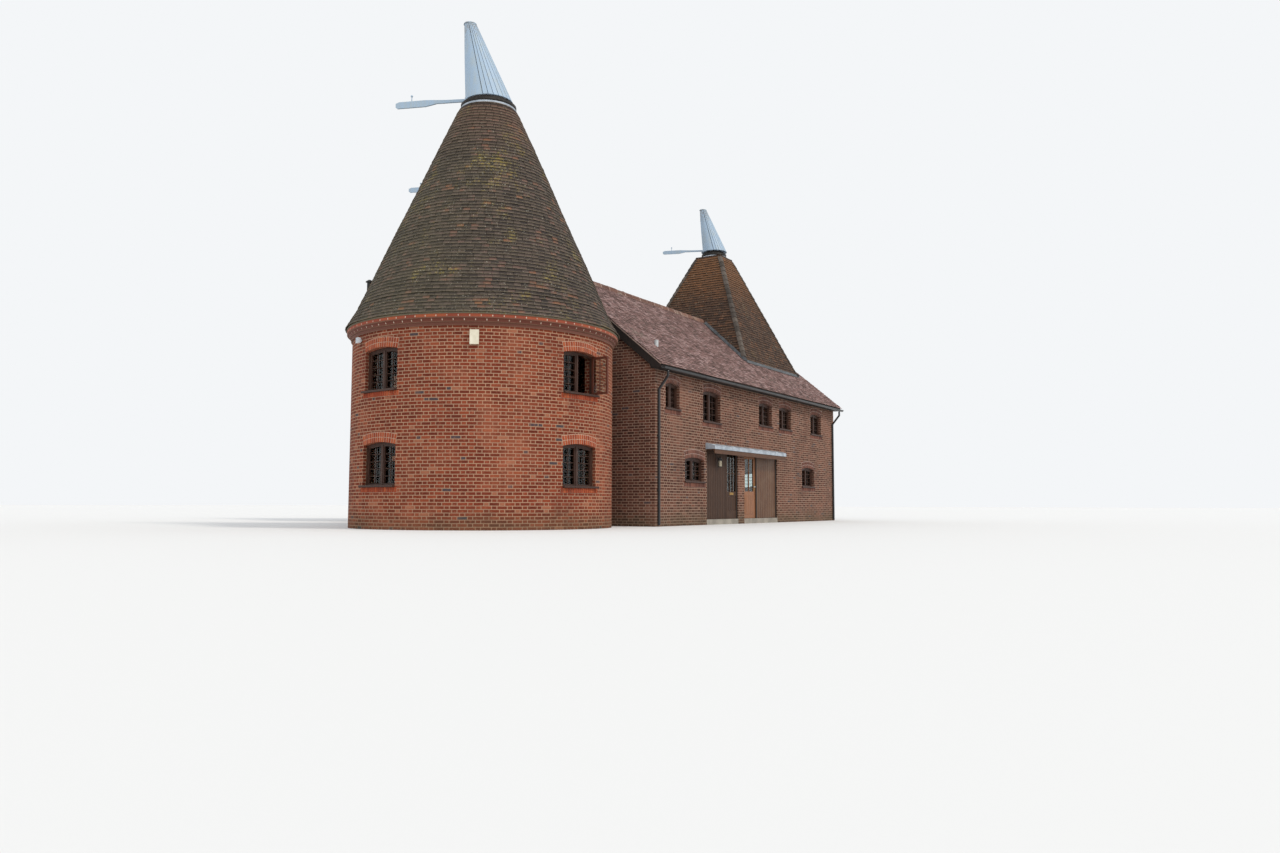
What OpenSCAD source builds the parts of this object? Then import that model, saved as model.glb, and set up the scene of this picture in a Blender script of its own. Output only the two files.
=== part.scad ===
// Oast house: two round kilns and one square kiln on a two-storey stowage barn.
// Millimetres. The origin is the centre of the front round kiln at ground level.
// X runs along the ridge of the barn, the long front faces -Y, Z is up.

/* [Round kilns] */
// Outside radius of a round kiln
kiln_r = 3150; // [2600:10:3800]
// Thickness of the round brick wall
kiln_wall = 330; // [215:5:450]
// Height of the front kiln's brick wall, up to its cornice
kiln_wall_h = 4400; // [4300:10:5200]
// Extra height of the rear kiln's wall
rear_kiln_rise = 700; // [500:10:1200]
// Distance of the rear kiln from the front one, along the ridge
rear_kiln_x = 6700; // [6000:10:7600]
// Depth that each round kiln is let into the wall behind it
kiln_bite = 200; // [120:10:260]
// Height of the brick cornice
cornice_h = 240; // [180:10:320]
// How far the cornice stands out from the wall
cornice_out = 130; // [80:5:180]

/* [Kiln roofs] */
// Height of the tiled cone above the cornice
cone_h = 5780; // [4800:10:6400]
// Outside radius of the cone at its top
cone_top_r = 690; // [600:10:760]
// Height over which the foot of the cone flares
cone_foot_h = 440; // [300:10:700]
// How much steeper the cone is above its flared foot, in radius over the foot
cone_foot_run = 235; // [180:5:300]
// Thickness of the kiln roofs, measured level
cone_t = 170; // [120:10:220]
// How far the tiles stand past the cornice
tile_drip = 12; // [0:1:30]
// Height of the lowest tile edge
tile_edge = 30; // [15:1:50]

/* [Square kiln] */
// Distance of the square kiln's middle from the far gable
square_kiln_in = 2900; // [2800:10:3200]
// Offset of the square kiln from the ridge, to the rear
square_kiln_y = 300; // [0:10:400]
// Height of the top of the square kiln's roof
square_top_z = 9600; // [9000:10:10200]
// Half width of the flat top of the square kiln's roof
square_top_half = 450; // [400:5:520]
// Level run of the square kiln's roof for a rise of one
square_run = 0.43; // [0.38:0.01:0.46]

/* [Cowls] */
// Radius of the big cowls at their foot
cowl_r = 600; // [500:5:640]
// Radius of the square kiln's cowl at its foot
small_cowl_r = 460; // [400:5:480]
// Direction of the wind vanes, from +X towards +Y
vane_turn = 112; // [0:1:359]
// Height of a cowl for each millimetre of its foot radius
cowl_steepness = 3.5; // [2.8:0.1:4.2]
// Thickness of the cowl boards
cowl_board = 28; // [18:1:40]
// Height of the weathered curb ring under a cowl
curb_h = 130; // [90:5:180]
// Radius of the iron pin that a cowl turns on
pin_r = 24; // [16:1:34]

/* [Barn] */
// Half width of the barn over its walls
barn_half = 3160; // [2900:10:3400]
// Length of the barn over its walls
barn_len = 13150; // [13000:10:14200]
// Thickness of the barn walls
barn_wall = 300; // [215:5:450]
// Height of the roof's apex, under the ridge tiles
apex_z = 6955; // [6500:5:7400]
// Rise of the barn roof for a level run of one
pitch = 0.828; // [0.75:0.01:0.95]
// Thickness of the barn roof, measured upright
roof_t = 200; // [140:5:260]
// Overhang of the roof past the long walls
eave_out = 240; // [180:5:320]
// Overhang of the roof past the gables
verge_out = 120; // [90:5:180]

/* [Floors] */
// Thickness of the ground floors
ground_floor_t = 150; // [100:5:200]
// Height of the upper floors' walking surface
upper_floor_z = 2450; // [2400:10:2600]
// Thickness of the upper floors
upper_floor_t = 200; // [150:5:250]

/* [Windows] */
// Width of the round kilns' windows
kiln_window_w = 1130; // [900:10:1200]
// Height of the round kilns' windows, to the springing of the arch
kiln_window_h = 940; // [800:10:960]
// Sill height of the upper kiln windows
kiln_sill_up = 3030; // [2900:10:3060]
// Sill height of the lower kiln windows
kiln_sill_low = 920; // [700:10:1100]
// Rise of a kiln window's arch
kiln_arch_rise = 60; // [40:5:90]
// Rise of a barn window's arch
barn_arch_rise = 65; // [40:5:90]
// Springing height of the barn's upper windows
head_up = 3700; // [3600:10:3760]
// Springing height of the barn's ground floor windows
head_low = 1780; // [1700:10:1950]
// Face width of a window frame
frame_face = 55; // [40:1:75]
// Depth of a window frame
frame_deep = 70; // [50:1:90]
// Distance of a window frame behind the wall face
reveal = 90; // [60:5:110]
// Thickness of the glass
glass_t = 6; // [4:1:10]
// Angle between an open casement and its closed place
casement_open = 88; // [60:1:110]

/* [Entrance] */
// Distance of the entrance opening from the near gable
entry_in = 2870; // [2830:10:2950]
// Length of the entrance opening
entry_len = 4960; // [4700:10:5100]
// Height of the entrance opening
entry_h = 2130; // [2050:10:2200]
// Length of the dark boarding
board_len = 1300; // [1200:10:1400]
// Length of the dark glazed screen
screen_len = 740; // [650:10:800]
// Width of the brick pier
pier_w = 420; // [330:5:480]
// Width of the glazed door
door_w = 840; // [760:5:860]
// Thickness of the door
door_t = 44; // [38:1:55]
// Distance that the canopy stands out from the wall
canopy_out = 300; // [220:10:400]
// Height of the canopy's front edge
canopy_edge = 90; // [80:5:140]

/* [Hidden] */
$fn = 180;

// Clearance of curved faces that meet, of pins in their bores, and of moving pieces
fit = 0.3;
pin_fit = 0.8;
free = 6;
// How far a cutting shape runs past what it cuts
over = 40;

// Round kilns
gable_x = kiln_r - kiln_bite;
kiln_in = kiln_r - kiln_wall;
rear_kiln_y = barn_half + kiln_r - kiln_bite;
front_kiln = [0, 0, 0];
rear_kiln = [rear_kiln_x, rear_kiln_y, 0];
let_in = kiln_bite + 20;
cornice_r = kiln_r + cornice_out;
tile_r = cornice_r + tile_drip;
course = cornice_h / 3;
// Middles of the four quarters of a round kiln, the second one against the barn
quarter_turns = [-96, -6, 84, 174];
window_turns = [-96, 84, 173];
open_turn = -96;

// Cowls: the apex leans to leeward, so that the leeward edge stands upright
top_share = 0.25;
cowl_h = cowl_steepness * cowl_r;
small_cowl_h = cowl_steepness * small_cowl_r;
rim_gap = 100;
pin_share = 0.42;

// Barn
far_x = gable_x + barn_len;
inner_half = barn_half - barn_wall;
eave_y = barn_half + eave_out;
verge_x = gable_x - verge_out;
roof_len = barn_len + 2 * verge_out;
function roof_z(y) = apex_z - pitch * abs(y);
function under_z(y) = roof_z(y) - roof_t;
storey_z = upper_floor_z - upper_floor_t;

// Square kiln
square_kiln = [far_x - square_kiln_in, square_kiln_y, 0];
function square_half(z) = square_top_half + square_run * (square_top_z - z);
square_t = 180;

// Barn windows: [centre, width, sill, springing], the centres as shares of the barn's length
wide_w = 1130;
bed_w = 1010;
small_w = 900;
low_sill = head_low - 630;
up_sill = head_up - 700;
function along(share) = gable_x + share * barn_len;
front_up_left = [[along(0.07), 760, up_sill + 40, head_up],
    [along(0.2437), 1090, up_sill - 150, head_up]];
front_up_right = [[along(0.5289), bed_w, up_sill, head_up], [along(0.6502), bed_w, up_sill, head_up],
    [along(0.8631), bed_w, up_sill, head_up]];
window_clear = 150;
entry_x = gable_x + entry_in;
front_low_left = [[entry_x - window_clear - wide_w / 2, wide_w, low_sill, head_low]];
front_low_right = [[along(0.8023), wide_w, low_sill, head_low]];
rear_up_left = [[along(0.1027), small_w, up_sill, head_up]];
rear_up_right = [[along(0.5133), bed_w, up_sill, head_up], [along(0.7795), bed_w, up_sill, head_up]];
rear_low_left = [[along(0.1027), small_w, low_sill, head_low]];
rear_low_right = [[along(0.5133), wide_w, low_sill, head_low],
    [along(0.7795), wide_w, low_sill, head_low]];
gable_windows = [[0, wide_w, low_sill, head_low], [0, bed_w, up_sill, head_up]];
// The upper front wall is in two lengths, which meet between windows
upper_split_x = along(0.384);

// Entrance
pier_x = entry_x + board_len + screen_len;
jamb = 50;
door_gap = 6;
lock_gap = 10;
door_x = pier_x + pier_w + jamb + door_gap;
door_post_x = door_x + door_w + lock_gap;
oak_end = entry_x + entry_len;
sill_z = ground_floor_t;
screen_y = -barn_half + 40;
screen_t = 70;
post = 80;
rail_h = 60;
door_y = screen_y + 20;
door_z = sill_z + door_gap;
door_h = entry_h - rail_h - door_gap - door_z;
hinge_r = 6;
knuckle_r = 12;
knuckle_h = 70;
hinge_y = screen_y + screen_t + knuckle_r + 5;
hinge_zs = [sill_z + 250, sill_z + 1500];

// An arched outline, centred on x, standing on y = 0
module arched(w, spring, rise) {
    arc_r = (w * w / 4 + rise * rise) / (2 * rise);
    translate([-w / 2, 0]) square([w, spring]);
    intersection() {
        translate([0, spring + rise - arc_r]) circle(arc_r, $fn = 360);
        translate([-w / 2, spring - 1]) square([w, rise + 2]);
    }
}

// Stands a flat outline up: its x along Y, its y up, its thickness along +X
module stand_x(t) {
    rotate([90, 0, 90]) linear_extrude(t) children();
}

// Stands a flat outline up: its x along X, its y up, its thickness along +Y
module stand_y(t) {
    translate([0, t, 0]) rotate([90, 0, 0]) linear_extrude(t) children();
}

// Window opening through a round wall, at an angle and a sill height
module kiln_hole(turn, sill) {
    rotate([0, 0, turn]) translate([kiln_in - 2 * over, 0, sill])
        stand_x(kiln_wall + 4 * over) arched(kiln_window_w, kiln_window_h, kiln_arch_rise);
}

// What lies past the plane that a round kiln is let in to
module past_let_in() {
    translate([gable_x + let_in, -2 * kiln_r, 0]) cube([kiln_r, 4 * kiln_r, 4 * kiln_r]);
}

// Quarter of a round kiln's wall, with the openings of its window column
module kiln_quarter(rise, turn, has_window) {
    difference() {
        rotate([0, 0, turn - 45]) rotate_extrude(angle = 90)
            translate([kiln_in, 0]) square([kiln_wall, kiln_wall_h + rise]);
        if (has_window) for (hole = window_turns) {
            if (abs(hole - turn) < 45) {
                kiln_hole(hole, kiln_sill_low);
                kiln_hole(hole, kiln_sill_up);
            }
        }
    }
}

// Cornice: two oversailing courses, a cove and a plain top band
module cornice(rise) {
    difference() {
        translate([0, 0, kiln_wall_h + rise]) rotate_extrude() polygon(concat(
            [[kiln_in, 0], [kiln_r + 0.25 * cornice_out, 0],
             [kiln_r + 0.25 * cornice_out, course]],
            [for (a = [0 : 15 : 90])
                [kiln_r + (0.45 + 0.55 * (1 - cos(a))) * cornice_out, course * (1 + sin(a))]],
            [[cornice_r, cornice_h], [kiln_in, cornice_h]]));
        past_let_in();
    }
}

// Outline of the tiled cone in radius and height above the cornice
cone_outline = [[tile_r, 0], [tile_r, tile_edge], [tile_r - cone_foot_run, cone_foot_h],
    [cone_top_r, cone_h]];

module cone_shell(rise) {
    inner = [for (i = [3 : -1 : 2]) cone_outline[i] - [cone_t, 0]];
    foot = [tile_r - cone_t - 0.55 * cone_foot_run, 0];
    difference() {
        translate([0, 0, kiln_wall_h + rise + cornice_h]) rotate_extrude()
            polygon(concat(cone_outline, inner, [foot]));
        past_let_in();
    }
}

// What a round kiln fills, for the pocket in the wall that it is let in to
module kiln_envelope(rise) {
    top = kiln_wall_h + rise;
    translate([0, 0, -over]) cylinder(r = kiln_r + fit, h = top + over);
    intersection() {
        union() {
            translate([0, 0, top - fit]) cylinder(r = cornice_r + fit, h = cornice_h);
            translate([0, 0, top + cornice_h]) rotate_extrude() polygon([[0, -1],
                [tile_r + fit, -1], [tile_r + fit, tile_edge + fit],
                [tile_r - cone_foot_run + fit, cone_foot_h + fit],
                [cone_top_r + fit, cone_h], [0, cone_h]]);
        }
        translate([-2 * kiln_r, -2 * kiln_r, 0])
            cube([2 * kiln_r + gable_x + let_in + fit, 4 * kiln_r, 4 * kiln_r]);
    }
}

// The rear kiln repeats the front one a quarter turn on, against the barn's rear wall
module at_rear() {
    translate(rear_kiln) rotate([0, 0, -90]) children();
}

// Square tapering block of the square kiln's roof, set in by a level distance
module square_block(inset, z_low, z_high) {
    low = square_half(z_low) - inset;
    high = square_half(z_high) - inset;
    outline = [[-low, z_low], [low, z_low], [high, z_high], [-high, z_high]];
    translate(square_kiln) intersection() {
        translate([-low, 0, 0]) stand_x(2 * low) polygon(outline);
        translate([0, -low, 0]) stand_y(2 * low) polygon(outline);
    }
}

// Space under the barn roof, from its underside down
module attic() {
    low = 3000;
    translate([verge_x - over, 0, 0]) stand_x(roof_len + 2 * over)
        polygon([[-eave_y, low], [eave_y, low], [eave_y, under_z(eave_y)], [0, under_z(0)],
            [-eave_y, under_z(eave_y)]]);
}

// Height of a kiln's curb, and of the foot of its cowl
function curb_z(rise) = kiln_wall_h + rise + cornice_h + cone_h;
function rim_z(top) = top + curb_h + rim_gap;

// Curb ring with a cross beam that carries the pin
module curb(outer_r, top) {
    beam = outer_r / 4;
    translate([0, 0, top]) {
        difference() {
            cylinder(r = outer_r, h = curb_h);
            translate([0, 0, -over]) cylinder(r = outer_r - 0.22 * outer_r, h = curb_h + 2 * over);
        }
        difference() {
            cylinder(r = 0.85 * outer_r, h = curb_h + rim_gap - free);
            translate([0, 0, -over]) cylinder(r = 0.78 * outer_r, h = curb_h + rim_gap + over);
        }
        intersection() {
            translate([-outer_r, -beam / 2, 0]) cube([2 * outer_r, beam, 0.8 * curb_h]);
            cylinder(r = 0.8 * outer_r, h = curb_h);
        }
    }
}

module cowl_pin(outer_r, top, r, h) {
    plate = outer_r / 8;
    seat = top + 0.8 * curb_h;
    translate([-plate, -plate, seat]) cube([2 * plate, 2 * plate, 12]);
    translate([0, 0, seat]) cylinder(r = pin_r, h = rim_z(top) + pin_share * h - seat - fit);
}

// The hollow of a cowl starts this far under its foot
hollow_drop = 10;
// Share of its height that the hollow of a cowl has risen at a height, with its lean and radius
function cowl_rise(h, z) = (z + hollow_drop - 1) / (h - cowl_board - 2);
function cowl_lean(r, h, z) = r * (1.12 - top_share) * cowl_rise(h, z);
function cowl_in(r, h, z) = r - cowl_board - r * (1 - top_share) * cowl_rise(h, z);

// Skewed cone between the cowl's round foot and its small top
module cowl_body(r, h, inset) {
    hull() {
        cylinder(r = r - inset, h = 1, $fn = 72);
        translate([r * (1.12 - top_share), 0, h - 1])
            cylinder(r = top_share * r - inset, h = 1, $fn = 72);
    }
}

// Cowl: boarded shell open to leeward, with two ties whose hubs turn on the pin
module cowl(r, h) {
    mouth_half = 0.52 * r;
    mouth_top = 0.74 * h;
    tie_h = 0.14 * r;
    tie_half = 0.06 * r;
    seat_z = pin_share * h;
    low_z = seat_z - tie_h;
    high_z = seat_z + tie_h;
    end_gap = 0.95;
    difference() {
        cowl_body(r, h, 0);
        translate([0, 0, -hollow_drop]) cowl_body(r, h - cowl_board, cowl_board);
        translate([0.45 * r, 0, tie_h]) stand_x(2 * r) polygon([[-mouth_half, 0],
            [mouth_half, 0], [mouth_half / 4, mouth_top - tie_h],
            [-mouth_half / 4, mouth_top - tie_h]]);
    }
    difference() {
        union() {
            translate([0, -tie_half, 0]) stand_y(2 * tie_half) polygon([
                for (e = [[-1, 0], [1, 0], [1, tie_h], [-1, tie_h]])
                    [cowl_lean(r, h, e[1]) + e[0] * tie_end(cowl_in(r, h, e[1]), tie_half,
                        end_gap), e[1]]]);
            cylinder(r = 2.4 * pin_r, h = tie_h);
        }
        translate([0, 0, -over]) cylinder(r = pin_r + pin_fit, h = tie_h + 2 * over);
    }
    difference() {
        union() {
            translate([-tie_half, 0, 0]) stand_x(2 * tie_half) polygon([
                for (e = [[-1, low_z], [1, low_z], [1, high_z], [-1, high_z]])
                    [e[0] * tie_end(cowl_in(r, h, e[1]), cowl_lean(r, h, e[1]) + tie_half,
                        end_gap), e[1]]]);
            translate([0, 0, low_z]) cylinder(r = 2.4 * pin_r, h = high_z - low_z);
        }
        translate([0, 0, low_z - over]) cylinder(r = pin_r + pin_fit, h = tie_h + over);
    }
}

// Reach of a tie from the middle of a round shell, at a distance beside the middle
function tie_end(radius, beside, gap) = sqrt(radius * radius - beside * beside) - gap;

// Wind vane: an arm out of the cowl's mouth, a deep board and a finial
module vane(r) {
    tip = 4.13 * r;
    arm_from = 0.6 * r;
    board_from = 2.3 * r;
    arm_h = 0.11 * r;
    deep = 0.3 * r;
    thick = 0.075 * r;
    z0 = 0.14 * r;
    finial_x = 3.42 * r;
    ball_r = 0.05 * r;
    translate([0, thick / 2, z0]) rotate([90, 0, 0]) linear_extrude(thick) polygon([
        [arm_from, 0], [board_from, 0], [board_from + 0.5 * r, -0.1 * r],
        [tip - 0.08 * r, -0.12 * r], [tip, -0.06 * r], [tip, deep - 0.2 * r],
        [tip - 0.15 * r, deep - 0.14 * r], [board_from + 0.5 * r, deep - 0.12 * r],
        [board_from - 0.4 * r, arm_h + 0.02 * r], [arm_from, arm_h]]);
    translate([finial_x, 0, z0 + deep - 0.16 * r]) cylinder(r = 0.02 * r, h = 0.25 * r);
    translate([finial_x, 0, z0 + deep + 0.1 * r]) sphere(ball_r);
}

module place_cowl(base, top) {
    translate([base[0], base[1], rim_z(top)]) rotate([0, 0, vane_turn]) children();
}

module front_cowl() {
    color("aliceblue") place_cowl(front_kiln, curb_z(0)) cowl(cowl_r, cowl_h);
}
module front_vane() {
    color("aliceblue") place_cowl(front_kiln, curb_z(0)) vane(cowl_r);
}
module rear_cowl() {
    color("aliceblue") place_cowl(rear_kiln, curb_z(rear_kiln_rise)) cowl(cowl_r, cowl_h);
}
module rear_vane() {
    color("aliceblue") place_cowl(rear_kiln, curb_z(rear_kiln_rise)) vane(cowl_r);
}
module square_cowl() {
    color("gainsboro") place_cowl(square_kiln, square_top_z) cowl(small_cowl_r, small_cowl_h);
}
module square_vane() {
    color("gainsboro") place_cowl(square_kiln, square_top_z) vane(small_cowl_r);
}

module kiln_floors() {
    color("burlywood") for (at = [front_kiln, rear_kiln]) translate(at) {
        cylinder(r = kiln_in - fit, h = ground_floor_t);
        translate([0, 0, storey_z]) cylinder(r = kiln_in - fit, h = upper_floor_t);
    }
}

module front_kiln_cornice() {
    color("chocolate") cornice(0);
}
module rear_kiln_cornice() {
    color("chocolate") at_rear() cornice(rear_kiln_rise);
}

flue_at = kiln_r * [-0.47, 0.7937];
flue_r = 62;
flue_low = kiln_wall_h + 400;
flue_top = flue_low + 1260;

module front_kiln_roof() {
    color("dimgray") difference() {
        cone_shell(0);
        translate([flue_at[0], flue_at[1], flue_low - over]) cylinder(r = flue_r + fit,
            h = flue_top - flue_low);
    }
}

module rear_kiln_roof() {
    color("dimgray") at_rear() cone_shell(rear_kiln_rise);
}

module square_kiln_roof() {
    low = soffit_z + 60;
    color("saddlebrown") difference() {
        square_block(0, low, square_top_z);
        square_block(square_t, low - over, square_top_z + over);
        attic();
    }
}

module kiln_curbs() {
    color("whitesmoke") {
        curb(cone_top_r - fit, curb_z(0));
        translate(rear_kiln) curb(cone_top_r - fit, curb_z(rear_kiln_rise));
        translate(square_kiln) curb(square_top_half, square_top_z);
    }
}

module cowl_pins() {
    color("black") {
        cowl_pin(cone_top_r, curb_z(0), cowl_r, cowl_h);
        translate(rear_kiln) cowl_pin(cone_top_r, curb_z(rear_kiln_rise), cowl_r, cowl_h);
        translate(square_kiln) cowl_pin(square_top_half, square_top_z, small_cowl_r, small_cowl_h);
    }
}

// One light of a window, to be cut from its frame; grow laps it over the frame
module light_outline(w, spring, rise, side, grow) {
    light = (w - 3 * frame_face) / 2;
    intersection() {
        translate([side * (light + frame_face) / 2 - light / 2 - grow, frame_face - grow])
            square([light + 2 * grow, spring + rise]);
        translate([0, grow - frame_face]) arched(w - 2 * fit, spring, rise);
    }
}

// Window frame with a mullion, standing on its sill and centred on x
module window_frame(w, spring, rise) {
    stand_y(frame_deep) difference() {
        translate([0, fit]) arched(w - 2 * fit, spring - 2 * fit, rise);
        for (side = [-1, 1]) light_outline(w, spring, rise, side, 0);
    }
}

// Glass against the back of a frame
module window_glass(w, spring, rise, sides) {
    for (side = sides) translate([0, frame_deep, 0]) stand_y(glass_t)
        light_outline(w, spring, rise, side, 15);
}

// Carries a frame to a kiln window: local +Y points into the kiln
module at_kiln_window(turn, sill) {
    rotate([0, 0, turn + 90]) translate([0, reveal + 45 - kiln_r, sill]) children();
}

module each_kiln_window() {
    for (turn = window_turns, sill = [kiln_sill_low, kiln_sill_up]) {
        $sides = turn == open_turn && sill == kiln_sill_up ? [-1] : [-1, 1];
        at_kiln_window(turn, sill) children();
    }
}

// Carries a casement that stands open to its hinges on the frame's right side
module at_open_casement() {
    at_kiln_window(open_turn, kiln_sill_up)
        translate([kiln_window_w / 2 - frame_face, 0, frame_face + 4])
            rotate([0, 0, casement_open]) translate([-casement_w, -casement_t, 0]) children();
}

casement_w = (kiln_window_w - 3 * frame_face) / 2;
casement_h = kiln_window_h - frame_face - 12;
casement_t = 40;
casement_rail = 48;

module kiln_window_frames() {
    color("saddlebrown") {
        each_kiln_window() window_frame(kiln_window_w, kiln_window_h, kiln_arch_rise);
        at_rear() each_kiln_window() window_frame(kiln_window_w, kiln_window_h, kiln_arch_rise);
        at_open_casement() stand_y(casement_t) difference() {
            square([casement_w, casement_h]);
            translate([casement_rail, casement_rail])
                square([casement_w - 2 * casement_rail, casement_h - 2 * casement_rail]);
        }
    }
}

module kiln_window_glass() {
    lap = casement_rail + fit;
    color("lightsteelblue") {
        each_kiln_window() window_glass(kiln_window_w, kiln_window_h, kiln_arch_rise, $sides);
        at_rear() each_kiln_window()
            window_glass(kiln_window_w, kiln_window_h, kiln_arch_rise, [-1, 1]);
        at_open_casement() translate([lap, casement_t / 2, lap])
            cube([casement_w - 2 * lap, glass_t, casement_h - 2 * lap]);
    }
}

// A long barn wall between two places along X, with its windows cut through.
// It stands on the -Y side, and its top follows the underside of the roof.
module long_wall(x0, x1, z0, z1, windows) {
    top_out = min(z1, under_z(barn_half));
    top_in = min(z1, under_z(inner_half));
    difference() {
        translate([x0, 0, 0]) stand_x(x1 - x0) polygon([[-barn_half, z0], [-inner_half, z0],
            [-inner_half, top_in], [-barn_half, top_out]]);
        for (w = windows) translate([w[0], -barn_half - over, w[2]]) stand_y(barn_wall + 2 * over)
            arched(w[1], w[3] - w[2], barn_arch_rise);
    }
}

// Higher than any wall: a wall given this height ends under the roof
high = 2 * apex_z;
module front_wall_low_left() {
    color("brown") long_wall(gable_x, entry_x, 0, entry_h, front_low_left);
}
module front_wall_low_right() {
    color("brown") {
        long_wall(oak_end, far_x, 0, entry_h, front_low_right);
        long_wall(pier_x, pier_x + pier_w, 0, entry_h, []);
    }
}
module front_wall_up_left() {
    color("brown") long_wall(gable_x, upper_split_x, entry_h, high, front_up_left);
}
module front_wall_up_right() {
    color("brown") long_wall(upper_split_x, far_x, entry_h, high, front_up_right);
}

module rear_wall_left() {
    color("brown") difference() {
        mirror([0, 1, 0]) long_wall(gable_x, rear_kiln_x, 0, high,
            concat(rear_low_left, rear_up_left));
        at_rear() kiln_envelope(rear_kiln_rise);
    }
}
module rear_wall_right() {
    color("brown") difference() {
        mirror([0, 1, 0]) long_wall(rear_kiln_x, far_x, 0, high,
            concat(rear_low_right, rear_up_right));
        at_rear() kiln_envelope(rear_kiln_rise);
    }
}

// Gable wall between the long walls, up to the underside of the roof
module gable(windows) {
    difference() {
        stand_x(barn_wall) polygon([[-inner_half, 0], [inner_half, 0],
            [inner_half, under_z(inner_half)], [0, under_z(0)], [-inner_half, under_z(inner_half)]]);
        for (w = windows) translate([-over, w[0], w[2]]) stand_x(barn_wall + 2 * over)
            arched(w[1], w[3] - w[2], barn_arch_rise);
    }
}

module near_gable_wall() {
    color("brown") difference() {
        translate([gable_x, 0, 0]) gable([]);
        kiln_envelope(0);
    }
}

module far_gable_wall() {
    color("brown") translate([far_x - barn_wall, 0, 0]) gable(gable_windows);
}

module barn_floor(z, t) {
    translate([gable_x + barn_wall, -inner_half, z])
        cube([barn_len - 2 * barn_wall, 2 * inner_half, t]);
}

module barn_ground_floor() {
    color("burlywood") {
        barn_floor(0, ground_floor_t);
        for (x = [[entry_x, pier_x], [pier_x + pier_w, oak_end]])
            translate([x[0], -barn_half, 0]) cube([x[1] - x[0], barn_wall, ground_floor_t]);
    }
}
module barn_upper_floor() {
    color("burlywood") barn_floor(storey_z, upper_floor_t);
}

barge_t = 32;
soffit_z = roof_z(eave_y) - 100;
slope_x = verge_x + barge_t;
slope_len = roof_len - 2 * barge_t;

// Front slope of the barn roof, with the boxed eaves under its foot
module slope() {
    translate([slope_x, 0, 0]) stand_x(slope_len) polygon([[0, apex_z],
        [-eave_y, roof_z(eave_y)], [-eave_y, soffit_z], [-barn_half, soffit_z],
        [-barn_half, under_z(barn_half)], [0, under_z(0)]]);
}

vent_x = gable_x + 950;
vent_y = 220 - inner_half;
vent_r = 55;
vent_z = under_z(vent_y) - 120;
vent_h = roof_t + 310;

module front_roof_slope() {
    color("rosybrown") difference() {
        slope();
        square_block(-fit, soffit_z - over, square_top_z);
        translate([vent_x, vent_y, vent_z]) cylinder(r = vent_r + fit, h = vent_h);
    }
}

module rear_roof_slope() {
    color("rosybrown") difference() {
        mirror([0, 1, 0]) slope();
        square_block(-fit, soffit_z - over, square_top_z);
        at_rear() kiln_envelope(rear_kiln_rise);
    }
}

ridge_half = 130;
ridge_rise = 80;

module ridge_tiles() {
    color("indianred") difference() {
        translate([verge_x, 0, 0]) stand_x(roof_len) polygon(concat(
            [[-ridge_half, roof_z(ridge_half)], [0, apex_z], [ridge_half, roof_z(ridge_half)]],
            [for (a = [0 : 15 : 180])
                [ridge_half * cos(a), roof_z(ridge_half) + 25
                    + (apex_z - roof_z(ridge_half) - 25 + ridge_rise) * sin(a)]]));
        square_block(-fit, soffit_z, square_top_z);
    }
}

barge_h = 275;
barge_top = 25;

// Outline of half a bargeboard, boxed out at its foot
module barge_half() {
    foot = eave_y - 300;
    polygon([[0, apex_z - barge_top], [-eave_y, roof_z(eave_y) - barge_top],
        [-eave_y, soffit_z], [-foot, soffit_z], [40 - foot, roof_z(foot - 40) - barge_h],
        [0, apex_z - barge_h]]);
}

module bargeboards() {
    color("black") for (x = [verge_x, far_x + verge_out - barge_t])
        translate([x, 0, 0]) stand_x(barge_t) {
            barge_half();
            mirror([1, 0]) barge_half();
        }
}

gutter_r = 62;
gutter_t = 6;
gutter_z = roof_z(eave_y) - 75;

// Half-round gutter along the eaves, against the cut end of the roof
module gutter_run() {
    translate([verge_x, -eave_y - gutter_r, gutter_z]) stand_x(roof_len) difference() {
        circle(gutter_r);
        circle(gutter_r - gutter_t);
        translate([-2 * gutter_r, 0]) square([4 * gutter_r, 2 * gutter_r]);
    }
}

module gutters() {
    color("black") {
        gutter_run();
        difference() {
            mirror([0, 1, 0]) gutter_run();
            at_rear() kiln_envelope(rear_kiln_rise);
        }
    }
}

pipe_r = 34;

// Downpipe: outlet, offset under the eaves and a drop to the ground
module downpipe(x, side) {
    gutter_y = eave_y + gutter_r;
    wall_y = barn_half + pipe_r + 8;
    outlet_z = gutter_z - gutter_r - pipe_r - fit;
    bend_z = outlet_z - 120;
    drop_z = bend_z - 320;
    for (p = [[[gutter_y, outlet_z], [gutter_y, bend_z]], [[gutter_y, bend_z], [wall_y, drop_z]],
              [[wall_y, drop_z], [wall_y, 60]]])
        hull() for (q = p) translate([x, side * q[0], q[1]]) sphere(pipe_r, $fn = 16);
    bracket_y = side < 0 ? -wall_y : barn_half;
    for (z = [0.223 * soffit_z, 0.57 * soffit_z]) translate([x - pipe_r - 12, bracket_y, z])
        cube([2 * pipe_r + 24, wall_y - barn_half, 40]);
}

module downpipes() {
    color("black") {
        downpipe(gable_x + 130, -1);
        downpipe(far_x - 200, -1);
        downpipe(far_x - 200, 1);
    }
}

module each_barn_window() {
    for (w = concat(front_up_left, front_up_right, front_low_left, front_low_right))
        translate([w[0], -barn_half + reveal, w[2]]) {
            $w = w;
            children();
        }
    for (w = concat(rear_up_left, rear_up_right, rear_low_left, rear_low_right))
        translate([w[0], barn_half - reveal, w[2]]) rotate([0, 0, 180]) {
            $w = w;
            children();
        }
    for (w = gable_windows) translate([far_x - reveal, w[0], w[2]]) rotate([0, 0, 90]) {
        $w = w;
        children();
    }
}

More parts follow.
